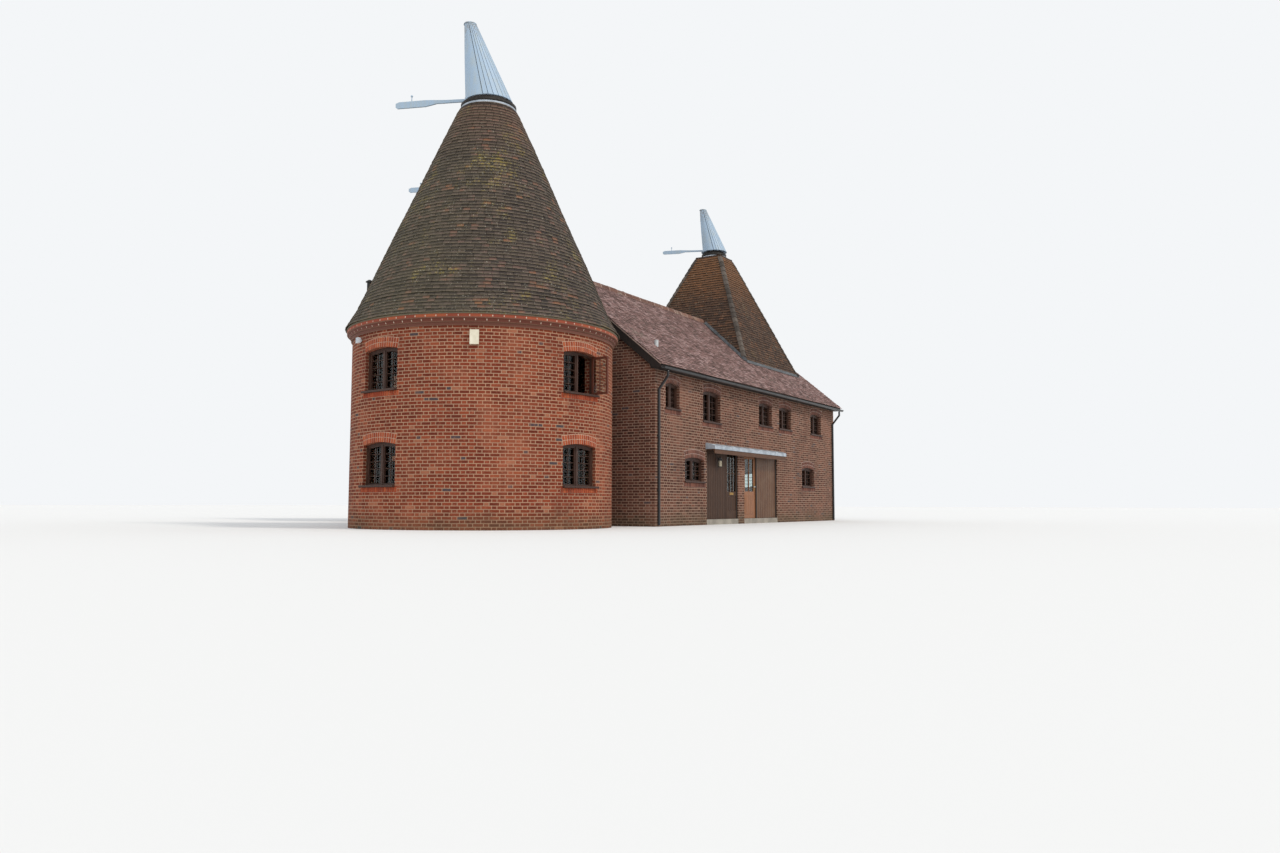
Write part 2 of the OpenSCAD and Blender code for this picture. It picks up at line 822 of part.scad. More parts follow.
module barn_window_frames() {
    color("saddlebrown") each_barn_window()
        window_frame($w[1], $w[3] - $w[2], barn_arch_rise);
}
module barn_window_glass() {
    color("lightsteelblue") {
        each_barn_window() window_glass($w[1], $w[3] - $w[2], barn_arch_rise, [-1, 1]);
        translate([screen_x + side_post + fit, screen_y + 30, panel_top + fit])
            cube([screen_len - 2 * (side_post + fit), glass_t,
                entry_h - rail_h - panel_top - 2 * fit]);
    }
}

// Lead-covered canopy with a fall to its front edge
module canopy() {
    x0 = entry_x - 70;
    length = entry_len + 140;
    color("silver") translate([x0, -barn_half, 0]) stand_x(length) polygon([[0, entry_h - 20],
        [-canopy_out, entry_h - 20], [-canopy_out, entry_h - 20 + canopy_edge],
        [0, entry_h + canopy_edge + 60]]);
}

screen_x = entry_x + board_len;
side_post = 70;
panel_top = sill_z + 250;

// Dark boarding with its post, and the glazed screen beside it
module dark_screen() {
    tall = entry_h - rail_h - sill_z;
    color("maroon") translate([0, 0, sill_z]) {
        translate([entry_x, screen_y, 0]) cube([post, screen_t, tall]);
        translate([entry_x + post, screen_y + 20, 0])
            cube([board_len - post, screen_t - 40, tall]);
        translate([entry_x, screen_y, tall]) cube([board_len + screen_len, screen_t, rail_h]);
        for (x = [screen_x, pier_x - side_post])
            translate([x, screen_y, 0]) cube([side_post, screen_t, tall]);
        translate([screen_x + side_post - 10, screen_y + 5, 0])
            cube([screen_len - 2 * side_post + 20, screen_t - 10, panel_top - sill_z]);
    }
}

// Door frame and vertical boarding in oak
module oak_screen() {
    frame_x = pier_x + pier_w;
    tall = entry_h - rail_h - sill_z;
    board_x = door_post_x + post;
    color("peru") {
        translate([0, 0, sill_z]) {
            translate([frame_x, screen_y, 0]) cube([jamb, screen_t, tall]);
            for (x = [door_post_x, oak_end - post])
                translate([x, screen_y, 0]) cube([post, screen_t, tall]);
            translate([frame_x, screen_y, tall]) cube([oak_end - frame_x, screen_t, rail_h]);
            translate([board_x, screen_y + 20, 0])
                cube([oak_end - post - board_x, screen_t - 40, tall]);
        }
        for (z = hinge_zs) hinge_pintle(z);
    }
}

// Fixed half of a hinge: an arm from the jamb and a pin that stands on it
module hinge_pintle(z) {
    arm_x = door_x - door_gap - 30;
    arm_y = screen_y + screen_t;
    arm_h = 14;
    translate([arm_x, arm_y, z - arm_h - 0.5])
        cube([door_x + hinge_r - arm_x, hinge_y + hinge_r - arm_y, arm_h]);
    translate([door_x, hinge_y, z - arm_h]) cylinder(r = hinge_r, h = knuckle_h + arm_h);
}

door_stile = 110;
lock_h = 700;
handle_z = sill_z + 950;

// Glazed door: stiles and rails over a solid lower panel, with knuckles and handles
module entrance_door() {
    back_y = door_y + door_t;
    handle_out = 45;
    grip = 14;
    bar = 24;
    color("sienna") difference() {
        union() {
            translate([door_x, door_y, door_z]) stand_y(door_t) difference() {
                square([door_w, door_h]);
                translate([door_stile, lock_h + door_stile])
                    square([door_w - 2 * door_stile, door_h - lock_h - 2 * door_stile]);
            }
            for (z = hinge_zs) {
                translate([door_x, hinge_y, z]) cylinder(r = knuckle_r, h = knuckle_h);
                translate([door_x, back_y, z]) cube([40, hinge_y - back_y, knuckle_h]);
            }
            for (y = [door_y - handle_out, back_y])
                translate([door_x + door_w - 70, y, handle_z]) cube([bar, handle_out, bar]);
            for (y = [door_y - handle_out, back_y + handle_out - grip])
                translate([door_x + door_w - 170, y, handle_z]) cube([124, grip, bar]);
        }
        for (z = hinge_zs) translate([door_x, hinge_y, z - over])
            cylinder(r = hinge_r + pin_fit, h = knuckle_h + 2 * over);
    }
}

module door_glass() {
    edge = door_stile + fit;
    color("lightsteelblue") translate([door_x + edge, door_y + 18, door_z + lock_h + edge])
        cube([door_w - 2 * edge, glass_t, door_h - lock_h - 2 * edge]);
}

lantern_x = entry_x + 0.55 * board_len;
lantern_z = entry_h - 500;

// Wall lantern: back plate, arm, glazed body and roof
module lantern() {
    face_y = screen_y + 20;
    body_y = face_y - 120;
    body_r = 50;
    body_h = 200;
    brim_t = 12;
    plate_t = 12;
    arm_w = 18;
    arm_len = 130;
    translate([lantern_x - 45, face_y - plate_t, lantern_z + 50]) cube([90, plate_t, 240]);
    translate([lantern_x - arm_w / 2, face_y - arm_len, lantern_z + body_h + 50])
        cube([arm_w, arm_len, arm_w]);
    translate([lantern_x, body_y, lantern_z]) {
        cylinder(r = body_r, h = body_h, $fn = 6);
        translate([0, 0, body_h]) cylinder(r = 1.5 * body_r, h = brim_t, $fn = 6);
        translate([0, 0, body_h + brim_t]) cylinder(r = 1.1 * body_r, h = 40, $fn = 6);
    }
}

flood_turn = 158;
flood_z = kiln_wall_h - 190;

// Small floodlight under the cornice, on an arm let on to the round wall
module floodlight() {
    lamp = [60, 150, 120];
    arm = [110, 50, 60];
    rotate([0, 0, flood_turn]) {
        difference() {
            translate([kiln_r - 40, -arm[1] / 2, flood_z + 40]) cube(arm);
            translate([0, 0, flood_z]) cylinder(r = kiln_r + fit, h = lamp[2]);
        }
        translate([kiln_r + 50, -lamp[1] / 2, flood_z]) cube(lamp);
    }
}

module outside_lamps() {
    color("dimgray") {
        lantern();
        floodlight();
    }
}

box_turn = -144;
box_z = kiln_wall_h - 415;

// Plain box high on the front kiln's wall
module wall_box() {
    box = [110, 196, 315];
    color("wheat") rotate([0, 0, box_turn]) difference() {
        translate([kiln_r - 40, -box[1] / 2, box_z]) cube(box);
        translate([0, 0, box_z - over]) cylinder(r = kiln_r + fit, h = box[2] + 2 * over);
    }
}

// Stove flue through the front kiln's roof, with a rain cap
module stove_flue() {
    tall = flue_top - flue_low;
    cap_r = 95;
    brim = 18;
    color("darkslategray") translate([flue_at[0], flue_at[1], flue_low]) {
        cylinder(r = flue_r, h = tall);
        translate([0, 0, tall]) cylinder(r = cap_r, h = brim);
        translate([0, 0, tall + brim]) cylinder(r1 = cap_r, r2 = 30, h = 45);
    }
}

// Soil vent pipe through the front slope of the barn
module vent_pipe() {
    color("silver") translate([vent_x, vent_y, vent_z]) cylinder(r = vent_r, h = vent_h);
}

module front_kiln_wall_front() {
    color("firebrick") kiln_quarter(0, quarter_turns[0], true);
}
module front_kiln_wall_barn() {
    color("firebrick") kiln_quarter(0, quarter_turns[1], false);
}
module front_kiln_wall_back() {
    color("firebrick") kiln_quarter(0, quarter_turns[2], true);
}
module front_kiln_wall_left() {
    color("firebrick") kiln_quarter(0, quarter_turns[3], true);
}
module rear_kiln_wall_left() {
    color("firebrick") at_rear() kiln_quarter(rear_kiln_rise, quarter_turns[0], true);
}
module rear_kiln_wall_barn() {
    color("firebrick") at_rear() kiln_quarter(rear_kiln_rise, quarter_turns[1], false);
}
module rear_kiln_wall_right() {
    color("firebrick") at_rear() kiln_quarter(rear_kiln_rise, quarter_turns[2], true);
}
module rear_kiln_wall_back() {
    color("firebrick") at_rear() kiln_quarter(rear_kiln_rise, quarter_turns[3], true);
}

front_kiln_wall_front();
front_kiln_wall_barn();
front_kiln_wall_back();
front_kiln_wall_left();
rear_kiln_wall_left();
rear_kiln_wall_barn();
rear_kiln_wall_right();
rear_kiln_wall_back();
kiln_floors();
front_kiln_cornice();
rear_kiln_cornice();
front_kiln_roof();
rear_kiln_roof();
square_kiln_roof();
kiln_curbs();
cowl_pins();
kiln_window_frames();
kiln_window_glass();
front_cowl();
front_vane();
rear_cowl();
rear_vane();
square_cowl();
square_vane();
front_wall_low_left();
front_wall_low_right();
front_wall_up_left();
front_wall_up_right();
rear_wall_left();
rear_wall_right();
near_gable_wall();
far_gable_wall();
barn_ground_floor();
barn_upper_floor();
front_roof_slope();
rear_roof_slope();
ridge_tiles();
bargeboards();
gutters();
downpipes();
barn_window_frames();
barn_window_glass();
canopy();
dark_screen();
oak_screen();
entrance_door();
door_glass();
outside_lamps();
wall_box();
stove_flue();
vent_pipe();
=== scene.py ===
"""Oast house: finishes, tiles, brick arches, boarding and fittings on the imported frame."""

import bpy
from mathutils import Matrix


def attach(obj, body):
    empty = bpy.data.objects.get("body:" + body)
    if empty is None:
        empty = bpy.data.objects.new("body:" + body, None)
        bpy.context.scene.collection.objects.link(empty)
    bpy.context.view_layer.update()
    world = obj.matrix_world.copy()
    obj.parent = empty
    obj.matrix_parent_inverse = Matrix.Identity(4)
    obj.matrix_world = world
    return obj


bl_info = {
    "name": "Oast house",
    "version": (1, 0, 0),
    "blender": (4, 5, 0),
    "location": "3D View > Sidebar > Oast house",
    "description": "Dresses the oast house: brickwork, tiled roofs, cowls, windows and entrance",
    "category": "Object",
}

from functools import partial
from math import atan2, cos, hypot, pi, radians, sin, sqrt

import bmesh
import bpy
import numpy as np
from bpy.props import FloatProperty, FloatVectorProperty, PointerProperty
from mathutils import Matrix, Vector

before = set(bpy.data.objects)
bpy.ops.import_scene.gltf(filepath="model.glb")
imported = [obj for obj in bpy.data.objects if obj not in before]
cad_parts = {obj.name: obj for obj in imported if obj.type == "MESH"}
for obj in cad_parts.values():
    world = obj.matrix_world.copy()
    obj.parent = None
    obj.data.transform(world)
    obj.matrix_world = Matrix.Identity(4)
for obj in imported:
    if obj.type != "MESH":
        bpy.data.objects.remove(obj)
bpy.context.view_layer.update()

# Sizes of the frame, in metres
KILN_R = 3.15
FRONT_KILN = Vector((0.0, 0.0, 0.0))
REAR_KILN = Vector((6.7, 6.11, 0.0))
REAR_RISE = 0.70
WALL_TOP = 4.40
CONE_FOOT = 4.64
CONE_OUTLINE = ((3.292, 0.03), (3.057, 0.44), (0.69, 5.78))
BARN_HALF = 3.16
GABLE_X = 2.95
FAR_X = 16.10
EAVE_Y = 3.40
VERGE = 0.12
APEX_Z = 6.955
PITCH = 0.828
SQUARE_KILN = Vector((13.2, 0.3, 0.0))
SQUARE_TOP = 9.60
SQUARE_HALF = 0.45
SQUARE_RUN = 0.43
VANE_TURN = radians(112)
# Kiln windows: turns round the kiln, sills, and width, height of the springing and rise
KILN_TURNS = (-96, 84, 173)
KILN_SILLS = (0.92, 3.03)
KILN_WINDOW = (1.13, 0.94, 0.06)
KILN_REVEAL = 0.135
# Barn windows: middle along the wall, width, sill and springing of the arch
FRONT_WINDOWS = ((3.87, 0.76, 3.04, 3.70), (6.155, 1.09, 2.85, 3.70), (9.905, 1.01, 3.0, 3.70),
                 (11.5, 1.01, 3.0, 3.70), (14.3, 1.01, 3.0, 3.70), (5.105, 1.13, 1.15, 1.78),
                 (13.5, 1.13, 1.15, 1.78))
REAR_WINDOWS = ((4.3, 0.9, 3.0, 3.70), (9.7, 1.01, 3.0, 3.70), (13.2, 1.01, 3.0, 3.70),
                (4.3, 0.9, 1.15, 1.78), (9.7, 1.13, 1.15, 1.78), (13.2, 1.13, 1.15, 1.78))
GABLE_WINDOWS = ((0.0, 1.13, 1.15, 1.78), (0.0, 1.01, 3.0, 3.70))
BARN_RISE = 0.065
BARN_REVEAL = 0.09
FRAME_FACE = 0.055
# Cowls: body, kiln, height and radius of the foot, top and radius of the curb under it
COWLS = (("front_cowl", FRONT_KILN, 10.65, 0.60, 10.55, 0.69),
         ("rear_cowl", REAR_KILN, 11.35, 0.60, 11.25, 0.69),
         ("square_cowl", SQUARE_KILN, 9.83, 0.46, 9.73, 0.45))
# Tiles: length, thickness, lift of the tail, vertices and faces of one, and gap beside it
TILE_LONG = 0.165
TILE_THICK = 0.013
TILE_LIFT = 0.018
TILE_VERTS = 12
TILE_FACES = 10
TILE_GAP = 0.003
# Bricks on edge, with their joint, in arches and sills, and the depth of a ring of an arch
ARCH_BRICK = 0.073
SILL_BRICK = 0.075
ARCH_RING = 0.112
X_AXIS = Vector((1, 0, 0))
Z_AXIS = Vector((0, 0, 1))


def linear(value):
    """A linear colour from an sRGB hex value."""
    parts = [int(value[i:i + 2], 16) / 255 for i in (0, 2, 4)]
    return tuple(c / 12.92 if c <= 0.04045 else ((c + 0.055) / 1.055) ** 2.4
                 for c in parts) + (1.0,)


class OastSizes(bpy.types.PropertyGroup):
    brick_course: FloatProperty(
        name="Kiln course", description="Height of a brick course on the round kilns",
        default=0.075, min=0.06, max=0.09, unit="LENGTH")
    barn_course: FloatProperty(
        name="Barn course", description="Height of a brick course on the barn",
        default=0.072, min=0.06, max=0.09, unit="LENGTH")
    joint: FloatProperty(
        name="Mortar joint", description="Width of the mortar joints between worn bricks",
        default=0.018, min=0.006, max=0.025, unit="LENGTH")
    kiln_gauge: FloatProperty(
        name="Kiln tile gauge", description="Length of tile that each course of a kiln shows",
        default=0.094, min=0.08, max=0.12, unit="LENGTH")
    barn_gauge: FloatProperty(
        name="Barn tile gauge", description="Length of tile that each course of the barn shows",
        default=0.10, min=0.08, max=0.12, unit="LENGTH")
    glazing_bar: FloatProperty(
        name="Glazing bar", description="Width of the glazing bars",
        default=0.016, min=0.008, max=0.03, unit="LENGTH")
    tile_w: FloatProperty(
        name="Tile width", description="Width of a plain clay tile",
        default=0.166, min=0.14, max=0.2, unit="LENGTH")


class OastColours(bpy.types.PropertyGroup):
    kiln_brick: FloatVectorProperty(
        name="Kiln brick", description="Main colour of the round kilns' bricks",
        subtype="COLOR", size=4, default=linear("823924"), min=0, max=1)
    barn_brick: FloatVectorProperty(
        name="Barn brick", description="Main colour of the barn's bricks",
        subtype="COLOR", size=4, default=linear("684134"), min=0, max=1)
    mortar: FloatVectorProperty(
        name="Mortar", description="Colour of the lime mortar",
        subtype="COLOR", size=4, default=linear("AA8468"), min=0, max=1)
    kiln_tile: FloatVectorProperty(
        name="Kiln tile", description="Main colour of the weathered kiln tiles",
        subtype="COLOR", size=4, default=linear("52473F"), min=0, max=1)
    barn_tile: FloatVectorProperty(
        name="Barn tile", description="Main colour of the barn's tiles",
        subtype="COLOR", size=4, default=linear("926E68"), min=0, max=1)
    # The cowls' paint colour is weathered white, darkened with painted shade and blued with a
    # painted sky reflection
    cowl_paint: FloatVectorProperty(
        name="Cowl paint", description="Colour of the weathered white paint",
        subtype="COLOR", size=4, default=linear("94A8BA"), min=0, max=1)


def sizes():
    return bpy.context.scene.oast_sizes


# The nodes in use, by short names: type, settings, inputs in order and the output that is
# read, or None for all of them. Any other name is the operation of a Math node.
NODES = {
    "coordinates": ("TexCoord", {}, (), None),
    "tone": ("Attribute", {"attribute_name": "tone"}, (), "Fac"),
    "lie": ("UVMap", {"uv_map": "lie"}, (), 0),
    "split": ("SeparateXYZ", {}, (0,), None),
    "split colour": ("SeparateColor", {}, (0,), None),
    "join": ("CombineXYZ", {}, (0, 1, 2), 0),
    "move": ("VectorMath", {"operation": "ADD"}, (0, 1), 0),
    "distance": ("VectorMath", {"operation": "DISTANCE"}, (0, 1), "Value"),
    "stretch": ("Mapping", {}, ("Vector", "Scale"), 0),
    "noise": ("TexNoise", {}, ("Vector", "Scale", "Detail", "Roughness"), 0),
    "chance": ("TexWhiteNoise", {"noise_dimensions": "3D"}, (0,), None),
    "step": ("MapRange", {"interpolation_type": "SMOOTHSTEP"}, (0, 1, 2, 3, 4), 0),
    "choose": ("Mix", {"data_type": "FLOAT"}, (0, 2, 3), 0),
    "blend": ("Mix", {"data_type": "RGBA"}, (0, 6, 7), 2),
    "overlay": ("Mix", {"data_type": "RGBA", "blend_type": "OVERLAY"}, (0, 6, 7), 2),
    "ramp": ("ValToRGB", {}, (0,), 0),
    "bump": ("Bump", {}, ("Strength", "Distance", "Height"), 0),
    "rays": ("LightPath", {}, (), None),
    "glow": ("Background", {}, ("Color", "Strength"), 0),
    "choose glow": ("MixShader", {}, (0, 1, 2), 0),
}


def give(tree, socket, value):
    """Gives an input a link, a hex colour or a plain value."""
    if isinstance(value, bpy.types.NodeSocket):
        tree.links.new(value, socket)
    else:
        socket.default_value = linear(value) if isinstance(value, str) else value


def add(tree, kind, *inputs, stops=()):
    """Adds a node with its settings, links and colour stops, and returns what it puts out."""
    name, settings, sockets, output = NODES.get(
        kind, ("Math", {"operation": kind}, (0, 1, 2), 0))
    made = tree.nodes.new("ShaderNode" + name)
    for key, value in settings.items():
        setattr(made, key, value)
    for socket, value in zip(sockets, inputs):
        give(tree, made.inputs[socket], value)
    if stops:
        elements = made.color_ramp.elements
        while len(elements) < len(stops):
            elements.new(0.5)
        for element, (place, colour) in zip(elements, stops):
            element.position = place
            element.color = linear(colour) if isinstance(colour, str) else colour
    return made.outputs if output is None else made.outputs[output]


def spots(size):
    """The scale of a pattern whose features are about a size in millimetres."""
    return 1000 / size


def new_finish(name):
    """An empty material, and what adds nodes to it."""
    mat = bpy.data.materials.new(name)
    mat.use_nodes = True
    return mat, partial(add, mat.node_tree)


def shade(mat, **inputs):
    """Gives the shader of a material its inputs by name."""
    shader = mat.node_tree.nodes["Principled BSDF"]
    for key, value in inputs.items():
        give(mat.node_tree, shader.inputs[key.replace("_", " ")], value)
    return mat


def turned(node, colour, other, pattern, low, high, share=1.0):
    """A colour turned to another by up to a share, as a pattern goes from low to high."""
    return node("blend", node("step", pattern, low, high, 0.0, share), colour, other)


def grained(node, colour, share, grain, low, high):
    """A colour made darker and lighter by a grain between two greys."""
    return node("overlay", share, colour, node("blend", grain, low, high))


def across(node, centre):
    """Distance along a wall and height: round a centre, or along the wall's own face."""
    coords = node("coordinates")
    x, y, z = node("split", coords["Object"])
    look = node("split", coords["Normal"])
    if centre is None:
        # On a face that looks along X the courses run along Y
        return node("choose", node("GREATER_THAN", node("ABSOLUTE", look[0]), 0.6), x, y), z
    x, y = node("SUBTRACT", x, centre.x), node("SUBTRACT", y, centre.y)
    round_it = node("MULTIPLY", node("ARCTAN2", y, x), KILN_R)
    depth = node("SQRT", node("ADD", node("MULTIPLY", x, x), node("MULTIPLY", y, y)))
    # A window's jamb looks across the radius, and its courses run inwards
    facing = node("ADD", node("MULTIPLY", x, look[0]), node("MULTIPLY", y, look[1]))
    jamb = node("LESS_THAN", node("ABSOLUTE", facing), 1.6)
    return node("choose", jamb, round_it, depth), z


def flemish_brick(name, centre, course, tones, mortar, pale, dark):
    """Hand-made brick in Flemish bond with lime joints: each brick has its own burnt tone."""
    mat, node = new_finish(name)
    place = node("coordinates")["Object"]
    along, height = across(node, centre)
    joint = sizes().joint / 2
    # One stretcher and one header, 225 and 112 mm, made to close round a kiln
    period = 0.3375 if centre is None else 2 * pi * KILN_R / 59
    # Hand-laid courses wander by a few millimetres
    height = node("MULTIPLY_ADD", node("noise", place, spots(550), 1.0, 0.6), 0.010, height)
    along = node("MULTIPLY_ADD", node("noise", place, spots(300), 1.0, 0.6), 0.012, along)
    row = node("DIVIDE", height, course)
    row_id = node("FLOOR", row)
    shift = node("MULTIPLY", node("MODULO", node("ABSOLUTE", row_id), 2), 0.5)
    run = node("ADD", node("DIVIDE", along, period), shift)
    part, up = node("FRACT", run), node("FRACT", row)
    # The joints beside a header lie at two thirds and at the end of each pair
    to_mid = node("ABSOLUTE", node("SUBTRACT", part, 2 / 3))
    to_end = node("MINIMUM", part, node("SUBTRACT", 1.0, part))
    side = node("MULTIPLY", node("MINIMUM", to_mid, to_end), period)
    bed = node("MULTIPLY", node("MINIMUM", up, node("SUBTRACT", 1.0, up)), course)
    # Worn arrises: the edge of each brick wanders
    wear = node("MULTIPLY_ADD", node("noise", place, spots(18), 2.0, 0.6), 0.006, -0.003)
    edge = node("ADD", node("MINIMUM", side, bed), wear)
    brick = node("step", edge, joint - 0.003, joint + 0.002)
    header = node("MULTIPLY", node("GREATER_THAN", part, 2 / 3), 0.5)
    own = node("chance", node("join", node("ADD", node("FLOOR", run), header), row_id, 1.7))
    lot = node("split colour", own["Color"])
    colour = node("ramp", lot[0], stops=tones)
    # Blue-grey flared headers, a few in a hundred, and as many pale bricks
    colour = node("blend", node("GREATER_THAN", lot[1], 0.985), colour, "50484B")
    colour = node("blend", node("GREATER_THAN", lot[2], 0.975), colour, pale)
    grain = node("noise", place, spots(12), 4.0, 0.7)
    blotch = node("noise", place, spots(60), 4.0, 0.7)
    colour = grained(node, colour, 0.6, grain, "5E5E5E", "A6A6A6")
    colour = turned(node, colour, pale, blotch, 0.52, 0.7, 0.4)
    colour = turned(node, colour, dark, blotch, 0.45, 0.3, 0.45)
    # Kiln-burnt faces are darker towards their edges
    colour = turned(node, colour, dark, edge, joint + 0.016, joint, 0.22)
    lime = node("blend", node("noise", place, spots(20), 3.0, 0.6), mortar, "8F7460")
    lime = turned(node, lime, mortar, node("noise", place, spots(900), 3.0, 0.6), 0.45, 0.7)
    colour = node("blend", brick, lime, colour)
    # Broad weathering: paler washed patches and darker damp ones
    broad = node("noise", place, spots(1300), 4.0, 0.65)
    colour = turned(node, colour, pale, broad, 0.5, 0.72, 0.30)
    colour = turned(node, colour, dark, broad, 0.46, 0.3, 0.35)
    # Green damp within half a metre of the ground
    foot = node("MULTIPLY_ADD", broad, 0.6, height)
    colour = turned(node, colour, "4E4A38", foot, 0.85, 0.25, 0.45)
    relief = node("MULTIPLY_ADD", lot[1], 0.25, node("MULTIPLY_ADD", grain, 0.22, brick))
    return shade(mat, Base_Color=colour, Roughness=0.88, Specular_IOR_Level=0.12,
                 Normal=node("bump", 0.7, 0.006, relief))


def moulded_cornice(name, centre, foot_z, mortar):
    """Moulded cornice brick with lime dots: painted shade darkens the cove and the foot course
    under the bright top.
    """
    mat, node = new_finish(name)
    place = node("coordinates")["Object"]
    along, height = across(node, centre)
    up = node("SUBTRACT", height, foot_z)
    period = 2 * pi * KILN_R / 84
    courses = node("DIVIDE", up, 0.08)
    row, bed = node("FLOOR", courses), node("FRACT", courses)
    shift = node("MULTIPLY", node("MODULO", row, 2), 0.5)
    run = node("ADD", node("DIVIDE", along, period), shift)
    own = node("chance", node("join", node("FLOOR", run), row, 4.2))
    colour = node("ramp", own["Value"], stops=((0, "8A3C25"), (0.5, "9C482B"), (1, "AE5831")))
    # Painted shade: the cove and the foot course under the top course are darkened
    colour = turned(node, colour, "6E3827", up, 0.185, 0.165)
    colour = turned(node, colour, "6A4030", up, 0.085, 0.075, 0.6)
    grain = node("noise", place, spots(20), 4.0, 0.7)
    colour = grained(node, colour, 0.45, grain, "666666", "AAAAAA")
    to_end = node("ABSOLUTE", node("SUBTRACT", node("FRACT", run), 0.5))
    side = node("MULTIPLY", node("SUBTRACT", 0.5, to_end), period)
    joint = node("step", side, 0.012, 0.006)
    # Lime shows as a ragged dot at each joint of the two upper courses
    dot = node("step", node("ABSOLUTE", node("SUBTRACT", bed, 0.5)), 0.28, 0.14)
    ragged = node("step", node("noise", place, spots(50), 2.0, 0.6), 0.30, 0.45)
    dot = node("MULTIPLY", node("MULTIPLY", dot, node("GREATER_THAN", up, 0.08)), ragged)
    colour = node("blend", node("MULTIPLY", joint, dot), colour, "CDBBA6")
    bed = node("MINIMUM", bed, node("SUBTRACT", 1.0, bed))
    colour = turned(node, colour, node("blend", grain, "4E2D22", mortar), bed, 0.10, 0.03, 0.7)
    relief = node("MULTIPLY_ADD", grain, 0.4, node("SUBTRACT", 1.0, joint))
    return shade(mat, Base_Color=colour, Roughness=0.85, Normal=node("bump", 0.6, 0.004, relief))


def clay(name, tones, moss, moss_share, laid=None, aloft=None, algae=None):
    """Hand-made clay: each piece has its own tone, with lichen and soot in patches.

    laid is the colour of the open tails of tiles in courses; aloft gives the heights between
    which the tiles turn to another colour, and that colour; algae is a film of green on the
    side away from the sun."""
    mat, node = new_finish(name)
    place = node("coordinates")["Object"]
    own = node("tone")
    if laid:
        # Tiles of one firing were laid together, so the redder ones lie in groups
        group = node("step", node("noise", place, spots(550), 3.0, 0.6), 0.38, 0.62)
        own = node("MULTIPLY", own, node("MULTIPLY_ADD", group, 0.38, 0.62))
    colour = node("ramp", own, stops=tones)
    x, y, z = node("split", place)
    if aloft:
        low, high, other = aloft
        colour = turned(node, colour, other, z, low, high, 0.5)
    grain = node("noise", place, spots(30), 5.0, 0.7)
    colour = grained(node, colour, 0.5, grain, "5C5C5C", "B4B4B4")
    broad = node("noise", place, spots(900), 4.0, 0.7)
    fine = node("noise", place, spots(50), 4.0, 0.7)
    lichen = node("step", node("MULTIPLY_ADD", fine, 0.7, broad), 1.02 - moss_share, 1.16, 0.0,
                  0.85)
    if laid:
        # Each tile's open tail is paler, partly lichen and partly a painted highlight where the
        # tails catch the light; under the tail above it the tile is darkened, partly dirt and
        # partly painted shadow
        lie = node("split", node("lie"))[1]
        ragged = node("MULTIPLY_ADD", fine, 0.35, node("SUBTRACT", lie, 0.17))
        colour = turned(node, colour, laid, ragged, 0.22, 0.02, 0.62)
        colour = turned(node, colour, "1E1A17", ragged, 0.40, 0.90, 0.80)
        lichen = node("MULTIPLY", lichen, node("step", ragged, 0.8, 0.3))
    if algae:
        film = node("MULTIPLY_ADD", broad, 3.0, node("SUBTRACT", y, x))
        colour = turned(node, colour, algae, film, 0.6, 4.6, 0.2)
    colour = node("blend", lichen, colour, moss)
    if laid:
        # Pale crusts of another lichen, as small as coins
        crust = node("MULTIPLY_ADD", broad, 0.2, node("noise", place, spots(35), 2.0, 0.6))
        colour = turned(node, colour, "A8A594", crust, 0.76, 0.80, 0.55)
    soot = node("noise", place, spots(350), 3.0, 0.6)
    colour = turned(node, colour, "3A322C", soot, 0.55, 0.72, 0.35)
    return shade(mat, Base_Color=colour, Roughness=0.82, Specular_IOR_Level=0.15,
                 Normal=node("bump", 0.5, 0.004, grain))


def timber(name, light, dark, axis, rough, weathered=None):
    """Sawn timber, its grain drawn 11 mm wide, coarser than real so that it shows."""
    mat, node = new_finish(name)
    place = node("coordinates")["Object"]
    stretch = [90.0, 90.0, 90.0]
    stretch["XYZ".index(axis)] = 4.0
    # Each board is cut from another part of the log
    own = node("tone")
    apart = node("MULTIPLY", own, 7.0)
    drawn = node("stretch", node("move", place, node("join", apart, apart, apart)), stretch)
    grain = node("noise", drawn, 1.0, 5.0, 0.65)
    colour = turned(node, dark, light, grain, 0.3, 0.7)
    colour = node("blend", node("MULTIPLY", own, 0.3), colour, dark)
    if weathered:
        worn = node("MULTIPLY_ADD", grain, 0.5, node("noise", place, spots(400), 4.0, 0.7))
        colour = turned(node, colour, weathered, worn, 0.62, 0.95)
    return shade(mat, Base_Color=colour, Roughness=rough, Specular_IOR_Level=0.3,
                 Normal=node("bump", 0.35, 0.002, grain))


def painted_boards(name, paint):
    """Weathered white gloss on softwood boards: chalky, streaked grey-green and flaking."""
    mat, node = new_finish(name)
    place = node("coordinates")["Object"]
    streak = node("noise", node("stretch", place, (14.0, 14.0, 1.6)), 1.0, 5.0, 0.7)
    colour = turned(node, paint, "9FA6A3", streak, 0.42, 0.68, 0.55)
    # The paint has gone from much of each cowl's top
    top = None
    for _, centre, foot_z, r, _, _ in COWLS:
        lean = Matrix.Rotation(VANE_TURN, 3, "Z") @ Vector((0.87 * r, 0, 3.5 * r))
        away = node("distance", place, Vector((centre.x, centre.y, foot_z)) + lean)
        top = node("MINIMUM", top, away) if top else away
    worn = node("ADD", node("noise", place, spots(35), 5.0, 0.75),
                node("step", top, 1.0, 0.1, 0.0, 0.16))
    flake = node("step", worn, 0.66, 0.70)
    colour = node("blend", node("MULTIPLY", flake, 0.8), colour, "7C7468")
    relief = node("MULTIPLY_ADD", flake, -0.8, node("MULTIPLY", streak, 0.5))
    return shade(mat, Base_Color=colour, Roughness=0.55, Normal=node("bump", 0.4, 0.002, relief))


def plain_finish(name, low, high, size, rough, metallic=0.0, bump_mm=0.5):
    """A cast, moulded or rolled surface that varies a little between two tones."""
    mat, node = new_finish(name)
    place = node("coordinates")["Object"]
    patch = node("noise", place, spots(size), 5.0, 0.6)
    return shade(mat, Base_Color=turned(node, low, high, patch, 0.3, 0.7), Roughness=rough,
                 Metallic=metallic, Normal=node("bump", 0.4, bump_mm / 1000, patch))


